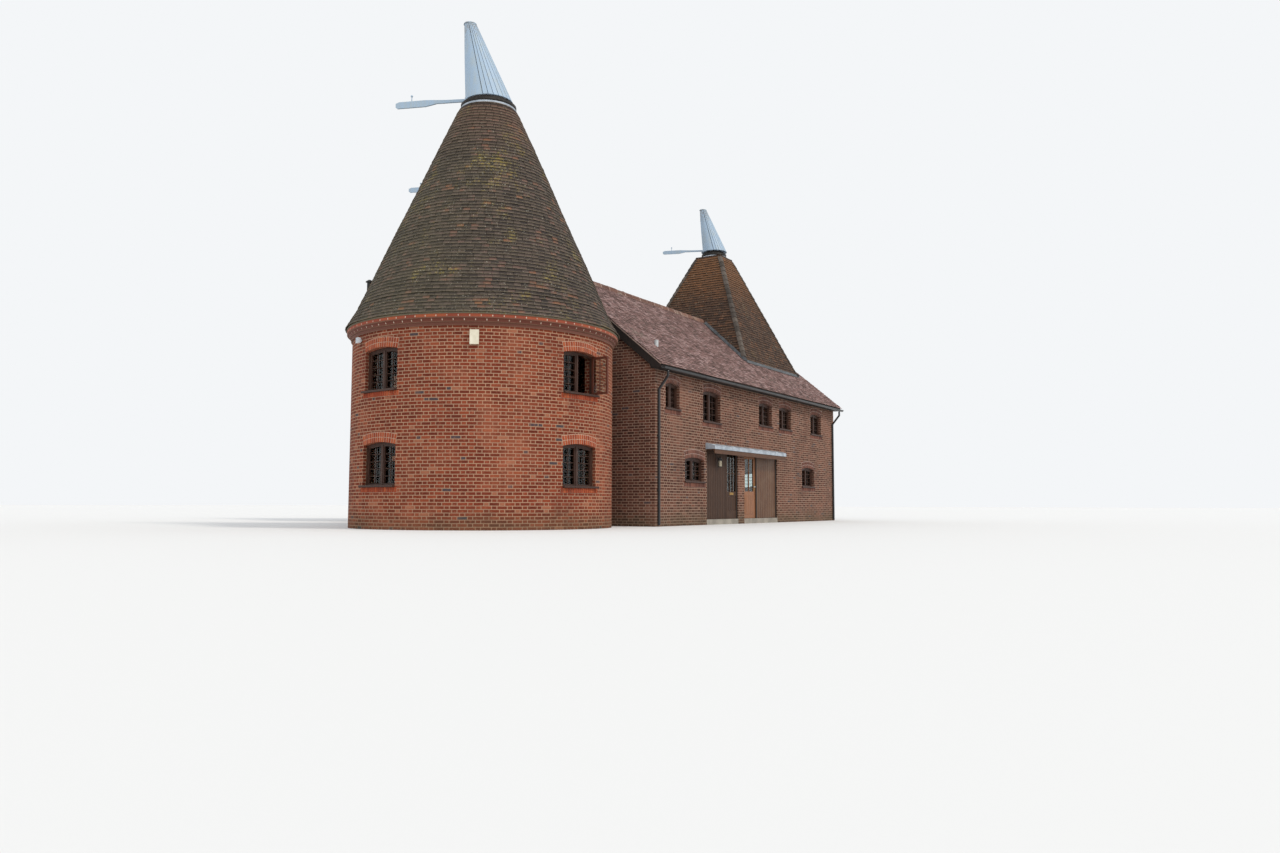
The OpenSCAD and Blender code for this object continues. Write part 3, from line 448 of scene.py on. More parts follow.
def lamp_finish(name):
    """White enamel on the floodlight at the kiln, black iron on the lantern at the entrance."""
    mat, node = new_finish(name)
    place = node("coordinates")["Object"]
    patch = node("noise", place, spots(60), 4.0, 0.6)
    colour = node("blend", node("GREATER_THAN", node("split", place)[0], GABLE_X),
                  node("blend", patch, "BFC2C4", "D5D8D9"),
                  node("blend", patch, "1E1C1B", "35302C"))
    return shade(mat, Base_Color=colour, Roughness=0.45)


# Timber: name, light and dark grain, axis of the grain, roughness and weathered colour
TIMBERS = {
    # Stain nearly hides the grain and leaves a little sheen
    "window timber": ("Dark stained oak", "4A3024", "2B1B15", "Z", 0.5),
    "red oak": ("Red stained oak", "6E3A28", "46231A", "Z", 0.5),
    # Brushed creosote soaks in and stays dull, and fades where the sun reaches it. The boarding's
    # tones are also darkened with painted shade from the canopy over it
    "dark boarding": ("Creosoted boarding", "4C3220", "2F1E15", "Z", 0.65),
    "fascia": ("Creosoted fascia", "644532", "442C1D", "X", 0.65),
    # Thick tar is close to black, with the grain only just to be seen
    "dark timber": ("Tarred bargeboard", "2E2622", "191512", "Z", 0.7),
    # Oil brings out the grain, and rain greys it in patches. The tones are also darkened with
    # painted shade from the canopy over the oak boards
    "oak": ("Oiled oak", "6B462B", "472D1B", "Z", 0.5, "624630"),
    # Varnish over an orange stain gives the warmest and glossiest wood of the front
    "oak door": ("Orange stained oak", "96603A", "6B4326", "Z", 0.4),
    # Sawn and left bare
    "floor boards": ("Elm floor boards", "9A7A58", "6E5238", "X", 0.7),
}
# Plain finishes: name, two tones, patches in mm, roughness, metallic and bump in mm
PLAIN = {
    # Struck lime with coarse sand, matt and gritty
    "kiln mortar": ("Lime mortar, kilns", "94745F", "B8967E", 40, 0.95, 0.0, 2.0),
    "barn mortar": ("Lime mortar, barn", "90796D", "AE978B", 40, 0.95, 0.0, 2.0),
    # Trodden stone, rounded and dusty
    "threshold": ("Worn stone floor", "7D766B", "989083", 300, 0.85, 0.0, 2.0),
    # Brushed gloss, still smooth
    "white paint": ("White gloss paint", "C2C0B8", "D6D4CD", 200, 0.4),
    # Polished and lacquered metal with soft reflections
    "satin steel": ("Satin steel", "A9A9A5", "C4C4C0", 50, 0.3, 0.9),
    "brass": ("Lacquered brass", "8E6A2C", "B08A44", 40, 0.3, 0.9),
    # Old lead carries a dull skin, new lead is paler and dressed in low waves
    "dull lead": ("Weathered sheet lead", "3C3E40", "5C5E60", 150, 0.65, 0.3, 1.5),
    "lead": ("Milled lead", "8F979F", "B4BBC2", 200, 0.55, 0.4, 1.0),
    # Hammered bars under black paint
    "iron": ("Wrought iron", "1E1C1B", "35302C", 50, 0.6, 0.6, 0.6),
    # Rolled steel, sooty from the stove
    "flue steel": ("Sooted flue", "1B1A1A", "34302D", 80, 0.6, 0.3),
    # The gaps between the boards lie in shade
    "seam shade": ("Shaded board seams", "23272B", "343A3F", 100, 0.9),
    # Sand-blasted glass scatters what is behind it, and a lamp's lens is smooth
    "frosted glass": ("Frosted lantern glass", "A89A80", "C9BCA0", 60, 0.25),
    "lamp lens": ("Lamp lens glass", "8E969C", "B4BBC0", 30, 0.08),
    # Extruded and moulded plastic: even, and glossier where it is new
    "black plastic": ("Black moulded gutter", "151516", "232325", 300, 0.35),
    "grey plastic": ("Grey moulded pipe", "A4A6A6", "BDBFBE", 100, 0.5),
    # Sprayed steel
    "beige plastic": ("Cream painted box", "C6BDA4", "D6CEB8", 150, 0.5),
}
MATERIALS = {}


def make_finishes():
    """Makes every finish and keeps it under its short name."""
    c = bpy.context.scene.oast_colours
    kiln_tones = ((0, "6C2F20"), (0.3, "7A3625"), (0.6, c.kiln_brick[:]), (0.85, "90432D"),
                  (1, "9C4D32"))
    barn_tones = ((0, "4D3229"), (0.3, "5C3A30"), (0.6, c.barn_brick[:]), (0.85, "74493B"),
                  (1, "805141"))
    for part, centre, rise in (("front", FRONT_KILN, 0.0), ("rear", REAR_KILN, REAR_RISE)):
        MATERIALS["%s kiln brick" % part] = flemish_brick(
            "Soft red brick, %s kiln" % part, centre, sizes().brick_course, kiln_tones,
            c.mortar[:], "A8694E", "5E3126")
        MATERIALS["%s cornice" % part] = moulded_cornice(
            "Moulded cornice brick, %s kiln" % part, centre, WALL_TOP + rise, c.mortar[:])
    MATERIALS["barn brick"] = flemish_brick(
        "Brown stock brick", None, sizes().barn_course, barn_tones, "9C8270", "8F6655", "4A332D")
    MATERIALS["rubbed brick"] = clay(
        "Rubbed arch brick", ((0, "8C3F29"), (0.5, "A04A2E"), (1, "B15B38")), "A5775C", 0.0)
    MATERIALS["barn arch brick"] = clay(
        "Barn arch brick", ((0, "5E3D34"), (0.5, "744C40"), (1, "86594A")), "85705F", 0.0)
    MATERIALS["kiln tiles"] = clay(
        "Weathered clay tiles",
        ((0, "3C3431"), (0.24, "483F3A"), (0.44, c.kiln_tile[:]), (0.70, "5E4F48"),
         (0.84, "6C5249"), (1, "83583F")),
        "8C7B38", 0.11, "7E725E", (8.6, 10.6, "74503F"), "5E5A42")
    MATERIALS["barn tiles"] = clay(
        "Mottled clay tiles",
        ((0, "5A4441"), (0.22, "775954"), (0.46, c.barn_tile[:]), (0.68, "A98984"),
         (1, "BB9C97")), "8B8070", 0.02, "A98A80")
    MATERIALS["square kiln tiles"] = clay(
        "Brown clay tiles", ((0, "402F27"), (0.32, "4F3B30"), (0.64, "5E4434"), (1, "744E38")),
        "5E5638", 0.06, "6C5844", (7.2, 9.0, "96643C"))
    MATERIALS["hip clay"] = clay(
        "Grey weathered hip tiles", ((0, "453E38"), (0.5, "564E47"), (1, "6A6057")),
        "6C6850", 0.08)
    MATERIALS["ridge clay"] = clay(
        "Ridge tile clay", ((0, "67493F"), (0.6, "7C5A4E"), (1, "94705F")), "9A9082", 0.16)
    # The cowl paint holds painted shade and a painted sky reflection
    MATERIALS["painted timber"] = painted_boards("Weathered white paint with painted shade", c.cowl_paint[:])
    MATERIALS["lamp metal"] = lamp_finish("Lamp enamel and iron")
    # Clear flat glass shows the dark rooms behind it and a faint sharp reflection. Its IOR lies
    # under the 1.52 of window glass, since the panes look darker than that gives
    MATERIALS["glass"] = shade(new_finish("Window glass")[0], Base_Color="DCE6E4", Roughness=0.0,
                               IOR=1.27, Transmission_Weight=1.0)
    for make, rows in ((timber, TIMBERS), (plain_finish, PLAIN)):
        for short, row in rows.items():
            MATERIALS[short] = make(*row)


# The carried-over pieces that each finish goes on
CARRIED = {
    "front kiln brick": "front_kiln_wall_front front_kiln_wall_barn front_kiln_wall_back"
                        " front_kiln_wall_left",
    "rear kiln brick": "rear_kiln_wall_left rear_kiln_wall_barn rear_kiln_wall_right"
                       " rear_kiln_wall_back",
    "front cornice": "front_kiln_cornice",
    "rear cornice": "rear_kiln_cornice",
    "barn brick": "front_wall_low_left front_wall_low_right front_wall_up_left"
                  " front_wall_up_right rear_wall_left rear_wall_right near_gable_wall"
                  " far_gable_wall",
    "floor boards": "kiln_floors barn_upper_floor",
    "threshold": "barn_ground_floor",
    "kiln tiles": "front_kiln_roof rear_kiln_roof",
    "square kiln tiles": "square_kiln_roof",
    "barn tiles": "front_roof_slope rear_roof_slope",
    "ridge clay": "ridge_tiles",
    "lead": "kiln_curbs canopy",
    "iron": "cowl_pins",
    "window timber": "kiln_window_frames barn_window_frames",
    "glass": "kiln_window_glass barn_window_glass door_glass",
    "painted timber": "front_cowl front_vane rear_cowl rear_vane square_cowl square_vane",
    "dark timber": "bargeboards",
    "black plastic": "gutters downpipes",
    "dark boarding": "dark_screen",
    "oak": "oak_screen",
    "oak door": "entrance_door",
    "lamp metal": "outside_lamps",
    "beige plastic": "wall_box",
    "flue steel": "stove_flue",
    "grey plastic": "vent_pipe",
}


class OAST_OT_materials(bpy.types.Operator):
    """Makes the finishes and puts them on the carried-over pieces"""
    bl_idname = "oast.materials"
    bl_label = "Finishes"

    def execute(self, context):
        make_finishes()
        for short, names in CARRIED.items():
            for name in names.split():
                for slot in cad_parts[name].material_slots:
                    slot.material = MATERIALS[short]
        return {"FINISHED"}


def settle(bm, name, material, body, smooth_faces=False):
    """Makes an object of a bmesh, with its place in its mesh, and lets it ride on a body."""
    mesh = bpy.data.meshes.new(name)
    bm.to_mesh(mesh)
    bm.free()
    mesh.materials.append(MATERIALS[material])
    if smooth_faces:
        mesh.polygons.foreach_set("use_smooth", [True] * len(mesh.polygons))
    piece = bpy.data.objects.new(name, mesh)
    bpy.context.scene.collection.objects.link(piece)
    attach(piece, body)


def toned():
    """A bmesh whose faces carry a tone."""
    bm = bmesh.new()
    bm.faces.layers.float.new("tone")
    return bm


def append(bm, other):
    """Joins a finished bmesh into another."""
    mesh = bpy.data.meshes.new("part")
    other.to_mesh(mesh)
    other.free()
    bm.from_mesh(mesh)
    bpy.data.meshes.remove(mesh)


def sheet(wide, tall, place):
    """A sheet of quads, each vertex placed by its share across, from the middle, and up."""
    bm = bmesh.new()
    bmesh.ops.create_grid(bm, x_segments=wide, y_segments=tall, size=0.5)
    for v in bm.verts:
        v.co = place(v.co.x, v.co.y + 0.5)
    return bm


def thicken(bm, by):
    """Extrudes a sheet along a vector into a slab whose faces look outwards."""
    made = bmesh.ops.extrude_face_region(bm, geom=bm.faces[:])["geom"]
    bmesh.ops.translate(bm, verts=[v for v in made if isinstance(v, bmesh.types.BMVert)], vec=by)
    bmesh.ops.recalc_face_normals(bm, faces=bm.faces[:])


def repeat(bm, steps, dvec=(0, 0, 0), angle=0.0):
    """Repeats a shape along a vector or round the origin."""
    bmesh.ops.spin(bm, geom=bm.verts[:] + bm.edges[:] + bm.faces[:], cent=(0, 0, 0),
                   axis=(0, 0, 1), dvec=dvec, angle=angle, steps=steps, use_duplicate=True)


def standing(up, out, at):
    """The place of a tile whose length runs along up and whose face looks out."""
    return Matrix.Translation(at) @ Matrix((up.cross(out), up, out)).transposed().to_4x4()


def move(bm, matrix):
    bmesh.ops.transform(bm, matrix=matrix, verts=bm.verts)


def block(bm, low, high, bevel=0.0, tone=0.0, matrix=None):
    """Adds a block between two corners, its edges eased by a bevel."""
    low, high = Vector(low), Vector(high)
    place = Matrix.Translation((low + high) / 2) @ Matrix.Diagonal((*(high - low), 1))
    made = bmesh.ops.create_cube(bm, size=1.0, matrix=place)["verts"]
    if bevel:
        edges = list({e for v in made for e in v.link_edges})
        bevelled = bmesh.ops.bevel(bm, geom=edges, offset=bevel, segments=1, profile=0.5,
                                   affect="EDGES", material=-1)
        made = list({v for f in bevelled["faces"] for v in f.verts})
    if matrix is not None:
        bmesh.ops.transform(bm, matrix=matrix, verts=made)
    layer = bm.faces.layers.float.get("tone")
    if layer:
        for face in {f for v in made for f in v.link_faces}:
            face[layer] = tone


def fit(name, material, body, rows):
    """A piece of blocks, each given by its corners, bevel, tone and matrix."""
    bm = toned()
    for row in rows:
        block(bm, *row)
    settle(bm, name, material, body)


def mark_lie(bm, wide, gauge):
    """Marks how far across a tile and up its course each corner lies."""
    lie = bm.loops.layers.uv.new("lie")
    for face in bm.faces:
        for loop in face.loops:
            loop[lie].uv = (loop.vert.co.x / wide + 0.5, loop.vert.co.y / gauge)


def tile_shape(wide_tail, wide_head, long, gauge):
    """One plain tile, lying along +Y from its tail, cambered 3 mm and lifted at its tail."""
    def on_tile(x, up):
        wide = wide_tail + (wide_head - wide_tail) * up
        camber = 0.003 if abs(x) < 0.1 else 0.0
        return Vector((x * wide, up * long, camber + TILE_LIFT * (1 - up)))

    bm = sheet(2, 1, on_tile)
    thicken(bm, (0, 0, TILE_THICK))
    mark_lie(bm, wide_tail, gauge)
    return bm


def facing(out):
    """The way that tiles on a flat slope look, one row for each."""
    return lambda middles: np.tile(np.array(out), (len(middles), 1))


def shake_tiles(bm, seed, per_tile, faces_per_tile, keep=None, axis_of=None):
    """Gives each tile a tone and a small lift and turn of its own, as hand-laid tiles have."""
    mesh = bpy.data.meshes.new("tiles")
    bm.to_mesh(mesh)
    bm.free()
    count = len(mesh.vertices) // per_tile
    places = np.empty(len(mesh.vertices) * 3)
    mesh.vertices.foreach_get("co", places)
    places = places.reshape(count, per_tile, 3)
    middles = places.mean(axis=1)
    rng = np.random.RandomState(seed)
    outward = axis_of(middles)
    lift = rng.rand(count, 1, 1) ** 2 * 0.008
    rock = (rng.rand(count, 1, 1) - 0.5) * 0.07
    slip = (rng.rand(count, 1, 1) - 0.5) * 0.008
    # Old battens sag between their rafters, so the courses swell and waver
    waves = [np.sin(middles @ np.array(way)) for way in ((1.9, 1.1, 2.3), (-0.7, 2.9, 1.3))]
    swell = (waves[0] + waves[1])[:, None, None]
    lift += (swell + 2) * 0.003
    slip += swell * 0.005
    # A tile on a ridge faces straight up, and lies across the roof's length
    level = np.where(np.abs(outward[:, 2:]) > 0.99, [[1.0, 0.0, 0.0]], [[0.0, 0.0, 1.0]])
    side = np.cross(outward, level)
    side /= np.linalg.norm(side, axis=1)[:, None]
    offset = places - middles[:, None, :]
    along = (offset * side[:, None, :]).sum(axis=2, keepdims=True)
    places += outward[:, None, :] * (lift + along * rock)
    places += side[:, None, :] * ((rng.rand(count, 1, 1) - 0.5) * 0.004)
    places += np.cross(side, outward)[:, None, :] * slip
    mesh.vertices.foreach_set("co", places.ravel())
    tone = mesh.attributes.new("tone", "FLOAT", "FACE")
    tone.data.foreach_set("value", np.repeat(rng.rand(count), faces_per_tile))
    shaped = bmesh.new()
    shaped.from_mesh(mesh)
    bpy.data.meshes.remove(mesh)
    if keep is not None:
        shaped.verts.ensure_lookup_table()
        gone = [shaped.verts[i * per_tile + k] for i in np.nonzero(~keep(middles))[0]
                for k in range(per_tile)]
        bmesh.ops.delete(shaped, geom=gone, context="VERTS")
    return shaped


def outline_at(distance):
    """Radius, height and slope of the cone at a distance up its outline."""
    for (r0, z0), (r1, z1) in zip(CONE_OUTLINE, CONE_OUTLINE[1:]):
        length = hypot(r1 - r0, z1 - z0)
        if distance <= length or (r1, z1) == CONE_OUTLINE[-1]:
            share = distance / length
            return r0 + (r1 - r0) * share, z0 + (z1 - z0) * share, atan2(z1 - z0, r0 - r1)
        distance -= length
    return None


def cone_tiles(name, centre, foot_z, seed, barn_side):
    """Plain tiles in courses round a kiln's cone, each course turned half a tile."""
    gauge = sizes().kiln_gauge
    length = sum(hypot(b[0] - a[0], b[1] - a[1]) for a, b in zip(CONE_OUTLINE, CONE_OUTLINE[1:]))
    rng = np.random.RandomState(seed)
    bm = bmesh.new()
    # The curb covers the outline's last 30 mm
    for k in range(int((length - 0.03) / gauge)):
        r, z, slope = outline_at(k * gauge)
        count = int(round(2 * pi * r / sizes().tile_w))
        long = min(TILE_LONG, length - k * gauge)
        head_r = r - long * cos(slope)
        step = 2 * pi / count
        tile = tile_shape(2 * r * sin(step / 2) - TILE_GAP, 2 * head_r * sin(step / 2) - 0.001,
                          long, gauge)
        turn = k * step / 2 + rng.rand() * 0.01
        stand = standing(Vector((-cos(slope), 0, sin(slope))),
                         Vector((sin(slope), 0, cos(slope))), (r, 0, foot_z + z))
        move(tile, Matrix.Rotation(turn, 4, "Z") @ stand)
        repeat(tile, count - 1, angle=step * (count - 1))
        append(bm, tile)

    def outward(middles):
        flat = middles.copy()
        flat[:, 2] = np.hypot(flat[:, 0], flat[:, 1]) * 0.44
        return flat / np.linalg.norm(flat, axis=1)[:, None]

    bm = shake_tiles(bm, seed, TILE_VERTS, TILE_FACES, lambda m: ~barn_side(m), outward)
    bmesh.ops.translate(bm, verts=bm.verts, vec=centre)
    settle(bm, name, "kiln tiles", "building")


def flat_tiles(name, courses, gauge, start, up, out, width_at, material, seed, keep):
    """Plain tiles in straight courses: start is the foot's middle, up runs up the slope."""
    side = up.cross(out)
    bm = bmesh.new()
    for k in range(courses):
        low, high = width_at(k * gauge)
        count = max(1, int(round((high - low) / sizes().tile_w)))
        each = (high - low) / count
        half = k % 2
        tile = tile_shape(each - TILE_GAP, each - TILE_GAP, TILE_LONG, gauge)
        foot = start + up * (k * gauge)
        move(tile, standing(up, out, foot + side * (low + each * (0.5 + 0.5 * half))))
        if count - 1 - half > 0:
            repeat(tile, count - 1 - half, side * each)
        # Every other course starts and ends with half a tile
        for end in (low + each * 0.25, high - each * 0.25) if half else ():
            small = tile_shape(each / 2 - TILE_GAP, each / 2 - TILE_GAP, TILE_LONG, gauge)
            move(small, standing(up, out, foot + side * end))
            append(tile, small)
        append(bm, tile)
    bm = shake_tiles(bm, seed, TILE_VERTS, TILE_FACES, keep, facing(out))
    settle(bm, name, material, "building")


def roof_z(y):
    return APEX_Z - PITCH * abs(y)


def square_half(z):
    """Half the width of the square kiln's taper at a height."""
    return SQUARE_HALF + SQUARE_RUN * (SQUARE_TOP - z)


class OAST_OT_roofs(bpy.types.Operator):
    """Lays the courses of plain tiles on the kilns and the barn"""
    bl_idname = "oast.roofs"
    bl_label = "Tiled roofs"

    def execute(self, context):
        # The cones carry no tiles inside the barn
        cone_tiles("front_kiln_tiles", FRONT_KILN, CONE_FOOT, 3,
                   lambda m: (m[:, 0] > GABLE_X + 0.1) & (m[:, 2] < 5.6))
        cone_tiles("rear_kiln_tiles", REAR_KILN, CONE_FOOT + REAR_RISE, 5,
                   lambda m: m[:, 2] < roof_z(m[:, 1] + REAR_KILN.y) + 0.02)
        gauge = sizes().barn_gauge
        slope = atan2(PITCH, 1)
        # The lowest tiles hang 30 mm over the gutter
        hang = 0.03
        courses = int((EAVE_Y / cos(slope) + hang) / gauge)
        half_len = (FAR_X - GABLE_X) / 2 + VERGE + 0.02
        for sign, name, seed in ((-1, "barn_front_tiles", 11), (1, "barn_rear_tiles", 12)):
            up = Vector((0, -sign * cos(slope), sin(slope)))
            out = Vector((0, sign * sin(slope), cos(slope)))
            start = Vector(((FAR_X + GABLE_X) / 2, sign * (EAVE_Y + hang), roof_z(EAVE_Y + hang)))

            def keep(m, sign=sign):
                # Tiles stop 120 mm inside the square kiln and the rear kiln's wall
                half = square_half(m[:, 2]) - 0.12
                good = ~((np.abs(m[:, 0] - SQUARE_KILN.x) < half)
                         & (np.abs(m[:, 1] - SQUARE_KILN.y) < half))
                if sign > 0:
                    good &= np.hypot(m[:, 0] - REAR_KILN.x, m[:, 1] - REAR_KILN.y) > KILN_R - 0.12
                return good

            flat_tiles(name, courses, gauge, start, up, out, lambda d: (-half_len, half_len),
                       "barn tiles", seed, keep)
        tilt = atan2(1, SQUARE_RUN)
        foot = 4.3
        foot_half = square_half(foot)
        courses = int((SQUARE_TOP - foot) / sin(tilt) / gauge)

        def width(d):
            half = foot_half - d * cos(tilt) - 0.01
            return -half, half

        for n in range(4):
            turn = Matrix.Rotation(n * pi / 2, 3, "Z")
            flat_tiles("square_kiln_tiles_%d" % (n + 1), courses, gauge,
                       SQUARE_KILN + turn @ Vector((0, -foot_half, foot)),
                       turn @ Vector((0, cos(tilt), sin(tilt))),
                       turn @ Vector((0, -sin(tilt), cos(tilt))), width, "square kiln tiles",
                       20 + n,
                       lambda m: m[:, 2] > APEX_Z - PITCH * np.abs(m[:, 1]) - 0.06)
        return {"FINISHED"}


def capping(name, start, along, out, count, pitch, long, half, drop, material, seed, lift):
    """A run of saddle-shaped tiles along a ridge or hip; drop gives the fall beside the crown."""
    bm = sheet(6, 1, lambda x, up: Vector((x * 2 * half, up * long,
                                           drop(x * 2 * half) + lift * (1 - up))))
    thicken(bm, (0, 0, 0.016))
    verts, faces = len(bm.verts), len(bm.faces)
    mark_lie(bm, half, pitch)
    move(bm, standing(along, out, start))
    repeat(bm, count - 1, along * pitch)
    bm = shake_tiles(bm, seed, verts, faces, axis_of=facing(out))
    settle(bm, name, material, "building")


class OAST_OT_cappings(bpy.types.Operator):
    """Lays the ridge tiles of the barn and the hip tiles of the square kiln"""
    bl_idname = "oast.cappings"
    bl_label = "Ridge and hips"

    def execute(self, context):
        crown = APEX_Z + 0.08
        # The ridge runs from each verge to where the square kiln meets it
        meet = square_half(crown) - 0.05

        def round_over(x):
            return 0.163 * (sqrt(max(0.0, 1 - (x / 0.137) ** 2)) - 1)

        for low, high, part in ((GABLE_X - VERGE, SQUARE_KILN.x - meet, "near"),
                                (SQUARE_KILN.x + meet, FAR_X + VERGE, "far")):
            count = max(1, int(round((high - low) / 0.45)))
            pitch = (high - low) / count
            capping("ridge_%s" % part, Vector((low + 0.004, 0, crown - 0.012)), X_AXIS, Z_AXIS,
                    count, pitch, pitch - 0.010, 0.1365, round_over, "ridge clay",
                    31, 0.0)
            # Lime squeezed out of each joint
            capping("ridge_joints_%s" % part, Vector((low + pitch - 0.020, 0, crown - 0.007)),
                    X_AXIS, Z_AXIS, count - 1, pitch, 0.028, 0.138, round_over, "barn mortar",
                    32, 0.0)
        foot_z = 4.75
        pitch = 0.22
        for n in range(4):
            turn = Matrix.Rotation(n * pi / 2, 3, "Z")
            low_half = square_half(foot_z)
            foot = SQUARE_KILN + turn @ Vector((low_half, -low_half, foot_z))
            top = SQUARE_KILN + turn @ Vector((SQUARE_HALF, -SQUARE_HALF, SQUARE_TOP))
            along = (top - foot).normalized()
            out = turn @ Vector((1, -1, 0)).normalized()
            out = (out - along * out.dot(along)).normalized()
            # Start where the hip leaves the barn's roof
            length = (top - foot).length
            start = 0.0
            while start < length:
                spot = foot + along * start
                if spot.z > roof_z(spot.y) - 0.02:
                    break
                start += 0.05
            # The hips fall away beside their crown at 40.5 degrees
            capping("hip_%d" % (n + 1), foot + along * start + out * 0.020, along, out,
                    int((length - start) / pitch), pitch, 0.29, 0.088,
                    lambda x: 0.854 * (0.03 - sqrt(x * x + 0.0009)), "hip clay",
                    40 + n, 0.022)
        return {"FINISHED"}


def flashing(bm, start, end, on_face, on_roof, outside):
    """A strip of lead along a junction, dressed up the kiln's face and down the barn's roof."""
    along = (end - start).normalized()
    up, down = on_face.cross(along), on_roof.cross(along)
    up = up if up.dot(on_roof) > 0 else -up
    down = down if down.dot(outside) > 0 else -down
    steps = max(2, int((end - start).length / 0.15))

    def on_strip(x, tall):
        share = x + 0.5
        # Dressed by hand, the edges wander
        wander = 0.007 * sin(share * steps * 1.9)
        side = up * (0.075 + wander) if tall > 0.6 else Vector()
        side = down * (0.085 + wander) if tall < 0.4 else side
        return start + (end - start) * share + side

    strip = sheet(steps, 2, on_strip)
    bmesh.ops.recalc_face_normals(strip, faces=strip.faces[:])
    bmesh.ops.solidify(strip, geom=strip.faces[:], thickness=0.003)
    append(bm, strip)


class OAST_OT_junctions(bpy.types.Operator):
    """Dresses lead round the foot of the square kiln and beds the barn's verges in mortar"""
    bl_idname = "oast.junctions"
    bl_label = "Flashings and verges"

    def execute(self, context):
        # The lead lies clear of the tiles, whose tails stand up to 50 mm off the boarding
        clear = 0.052
        over_roof = clear * hypot(1, PITCH)
        over_face = clear * hypot(1, SQUARE_RUN)
        lead = bmesh.new()
        for sy in (-1, 1):
            on_roof = Vector((0, sy * PITCH, 1)).normalized()
            corner = (((APEX_Z + over_roof) / PITCH - sy * SQUARE_KILN.y - SQUARE_HALF
                       - SQUARE_RUN * SQUARE_TOP - over_face) / (1 / PITCH - SQUARE_RUN))
            ends = []
            for sx in (-1, 1):
                on_face = Vector((sx, 0, SQUARE_RUN)).normalized()
                top, foot = [Vector((SQUARE_KILN.x + sx * (square_half(z) + over_face),
                                     sy * (APEX_Z + over_roof - z) / PITCH, z))
                             for z in (APEX_Z - 0.06, corner)]
                flashing(lead, top, foot, on_face, on_roof, on_face)
                ends.append(foot)
            on_face = Vector((0, sy, SQUARE_RUN)).normalized()
            flashing(lead, *ends, on_face, on_roof, on_face)
        settle(lead, "kiln_flashings", "dull lead", "building")
        slope = atan2(PITCH, 1)
        length = (EAVE_Y - 0.02) / cos(slope)
        beds = []
        for x in (GABLE_X - VERGE, FAR_X + VERGE):
            for sy in (-1, 1):
                place = (Matrix.Translation((x, sy * 0.02, roof_z(0.02)))
                         @ Matrix.Rotation(-sy * slope, 4, "X"))
                low, high = sorted((0.0, sy * length))
                beds.append(((-0.010, low, -0.022), (0.010, high, 0.012), 0.004, 0.0, place))
        fit("verge_beds", "barn mortar", "building", beds)
        return {"FINISHED"}


class Window:
    """A window's place, outline and the wall in front of it; its frame's face is at y = 0."""

    def __init__(self, place, width, spring, rise, behind, radius=None):
        self.place, self.width, self.spring, self.rise = place, width, spring, rise
        self.behind, self.radius = behind, radius
        self.arc = (width * width / 4 + rise * rise) / (2 * rise)

    def on_wall(self, x, z):
        """The place on the wall's outer face, above the sill and beside the middle."""
        if self.radius:
            return (self.place @ Matrix.Translation((0, self.radius - self.behind, 0))
                    @ Matrix.Rotation(x / self.radius, 4, "Z")
                    @ Matrix.Translation((0, -self.radius, z)))
        return self.place @ Matrix.Translation((x, -self.behind, z))

    def head(self, x):
        """Height of the arch's underside above the sill."""
        return self.spring + self.rise - self.arc + sqrt(self.arc ** 2 - x * x)


def kiln_windows():
    wide, spring, rise = KILN_WINDOW
    for centre, spin in ((FRONT_KILN, 0), (REAR_KILN, -90)):
        for turn in KILN_TURNS:
            for sill in KILN_SILLS:
                place = (Matrix.Translation((centre.x, centre.y, sill))
                         @ Matrix.Rotation(radians(turn + spin + 90), 4, "Z")
                         @ Matrix.Translation((0, KILN_REVEAL - KILN_R, 0)))
                yield Window(place, wide, spring, rise, KILN_REVEAL, KILN_R)


def barn_windows():
    walls = ((FRONT_WINDOWS, lambda x: Matrix.Translation((x, BARN_REVEAL - BARN_HALF, 0))),
             (REAR_WINDOWS, lambda x: Matrix.Translation((x, BARN_HALF - BARN_REVEAL, 0))
              @ Matrix.Rotation(pi, 4, "Z")),
             (GABLE_WINDOWS, lambda y: Matrix.Translation((FAR_X - BARN_REVEAL, y, 0))
              @ Matrix.Rotation(pi / 2, 4, "Z")))
    for windows, place in walls:
        for middle, wide, sill, spring in windows:
            yield Window(place(middle) @ Matrix.Translation((0, 0, sill)), wide, spring - sill,
                         BARN_RISE, BARN_REVEAL)


def lay_opening(window, bricks, mortar, rng):
    """Lays two rings of arch bricks and a sill course on edge about an opening."""
    half = np.arcsin(window.width / 2 / window.arc)
    count = int(round(2 * half * window.arc / ARCH_BRICK))
    centre = window.spring + window.rise - window.arc
    # The bricks end 6 mm in front of the frame
    deep = window.behind - 0.006
    for ring in range(2):
        inner = window.arc - 0.003 + ring * ARCH_RING
        for k in range(count):
            lean = -half + (k + 0.5) * 2 * half / count
            wide = 2 * half / count * inner
            spot = (window.on_wall(inner * sin(lean), centre + inner * cos(lean))
                    @ Matrix.Rotation(lean, 4, "Y"))
            proud = -0.005 - rng.rand() * 0.003
            block(bricks, (0.0065 - wide / 2, proud, 0), (wide / 2 - 0.0065, deep, 0.1), 0.004,
                  rng.rand(), spot)
            block(mortar, (-wide / 2 - 0.004, -0.002, 0.001),
                  (wide / 2 + 0.004, deep - 0.004, 0.113), matrix=spot)
    # The sill runs 70 mm past the opening on both sides
    sill = window.width + 0.14
    count = int(round(sill / SILL_BRICK))
    pitch = sill / count
    for k in range(count):
        spot = window.on_wall((k + 0.5 - count / 2) * pitch, 0)
        proud = -0.014 - rng.rand() * 0.004
        block(bricks, (0.006 - pitch / 2, proud, -0.108), (pitch / 2 - 0.006, deep, 0.003),
              0.004, rng.rand(), spot)
        block(mortar, (-pitch / 2, -0.004, -0.116), (pitch / 2, deep - 0.004, 0.001),
              matrix=spot)


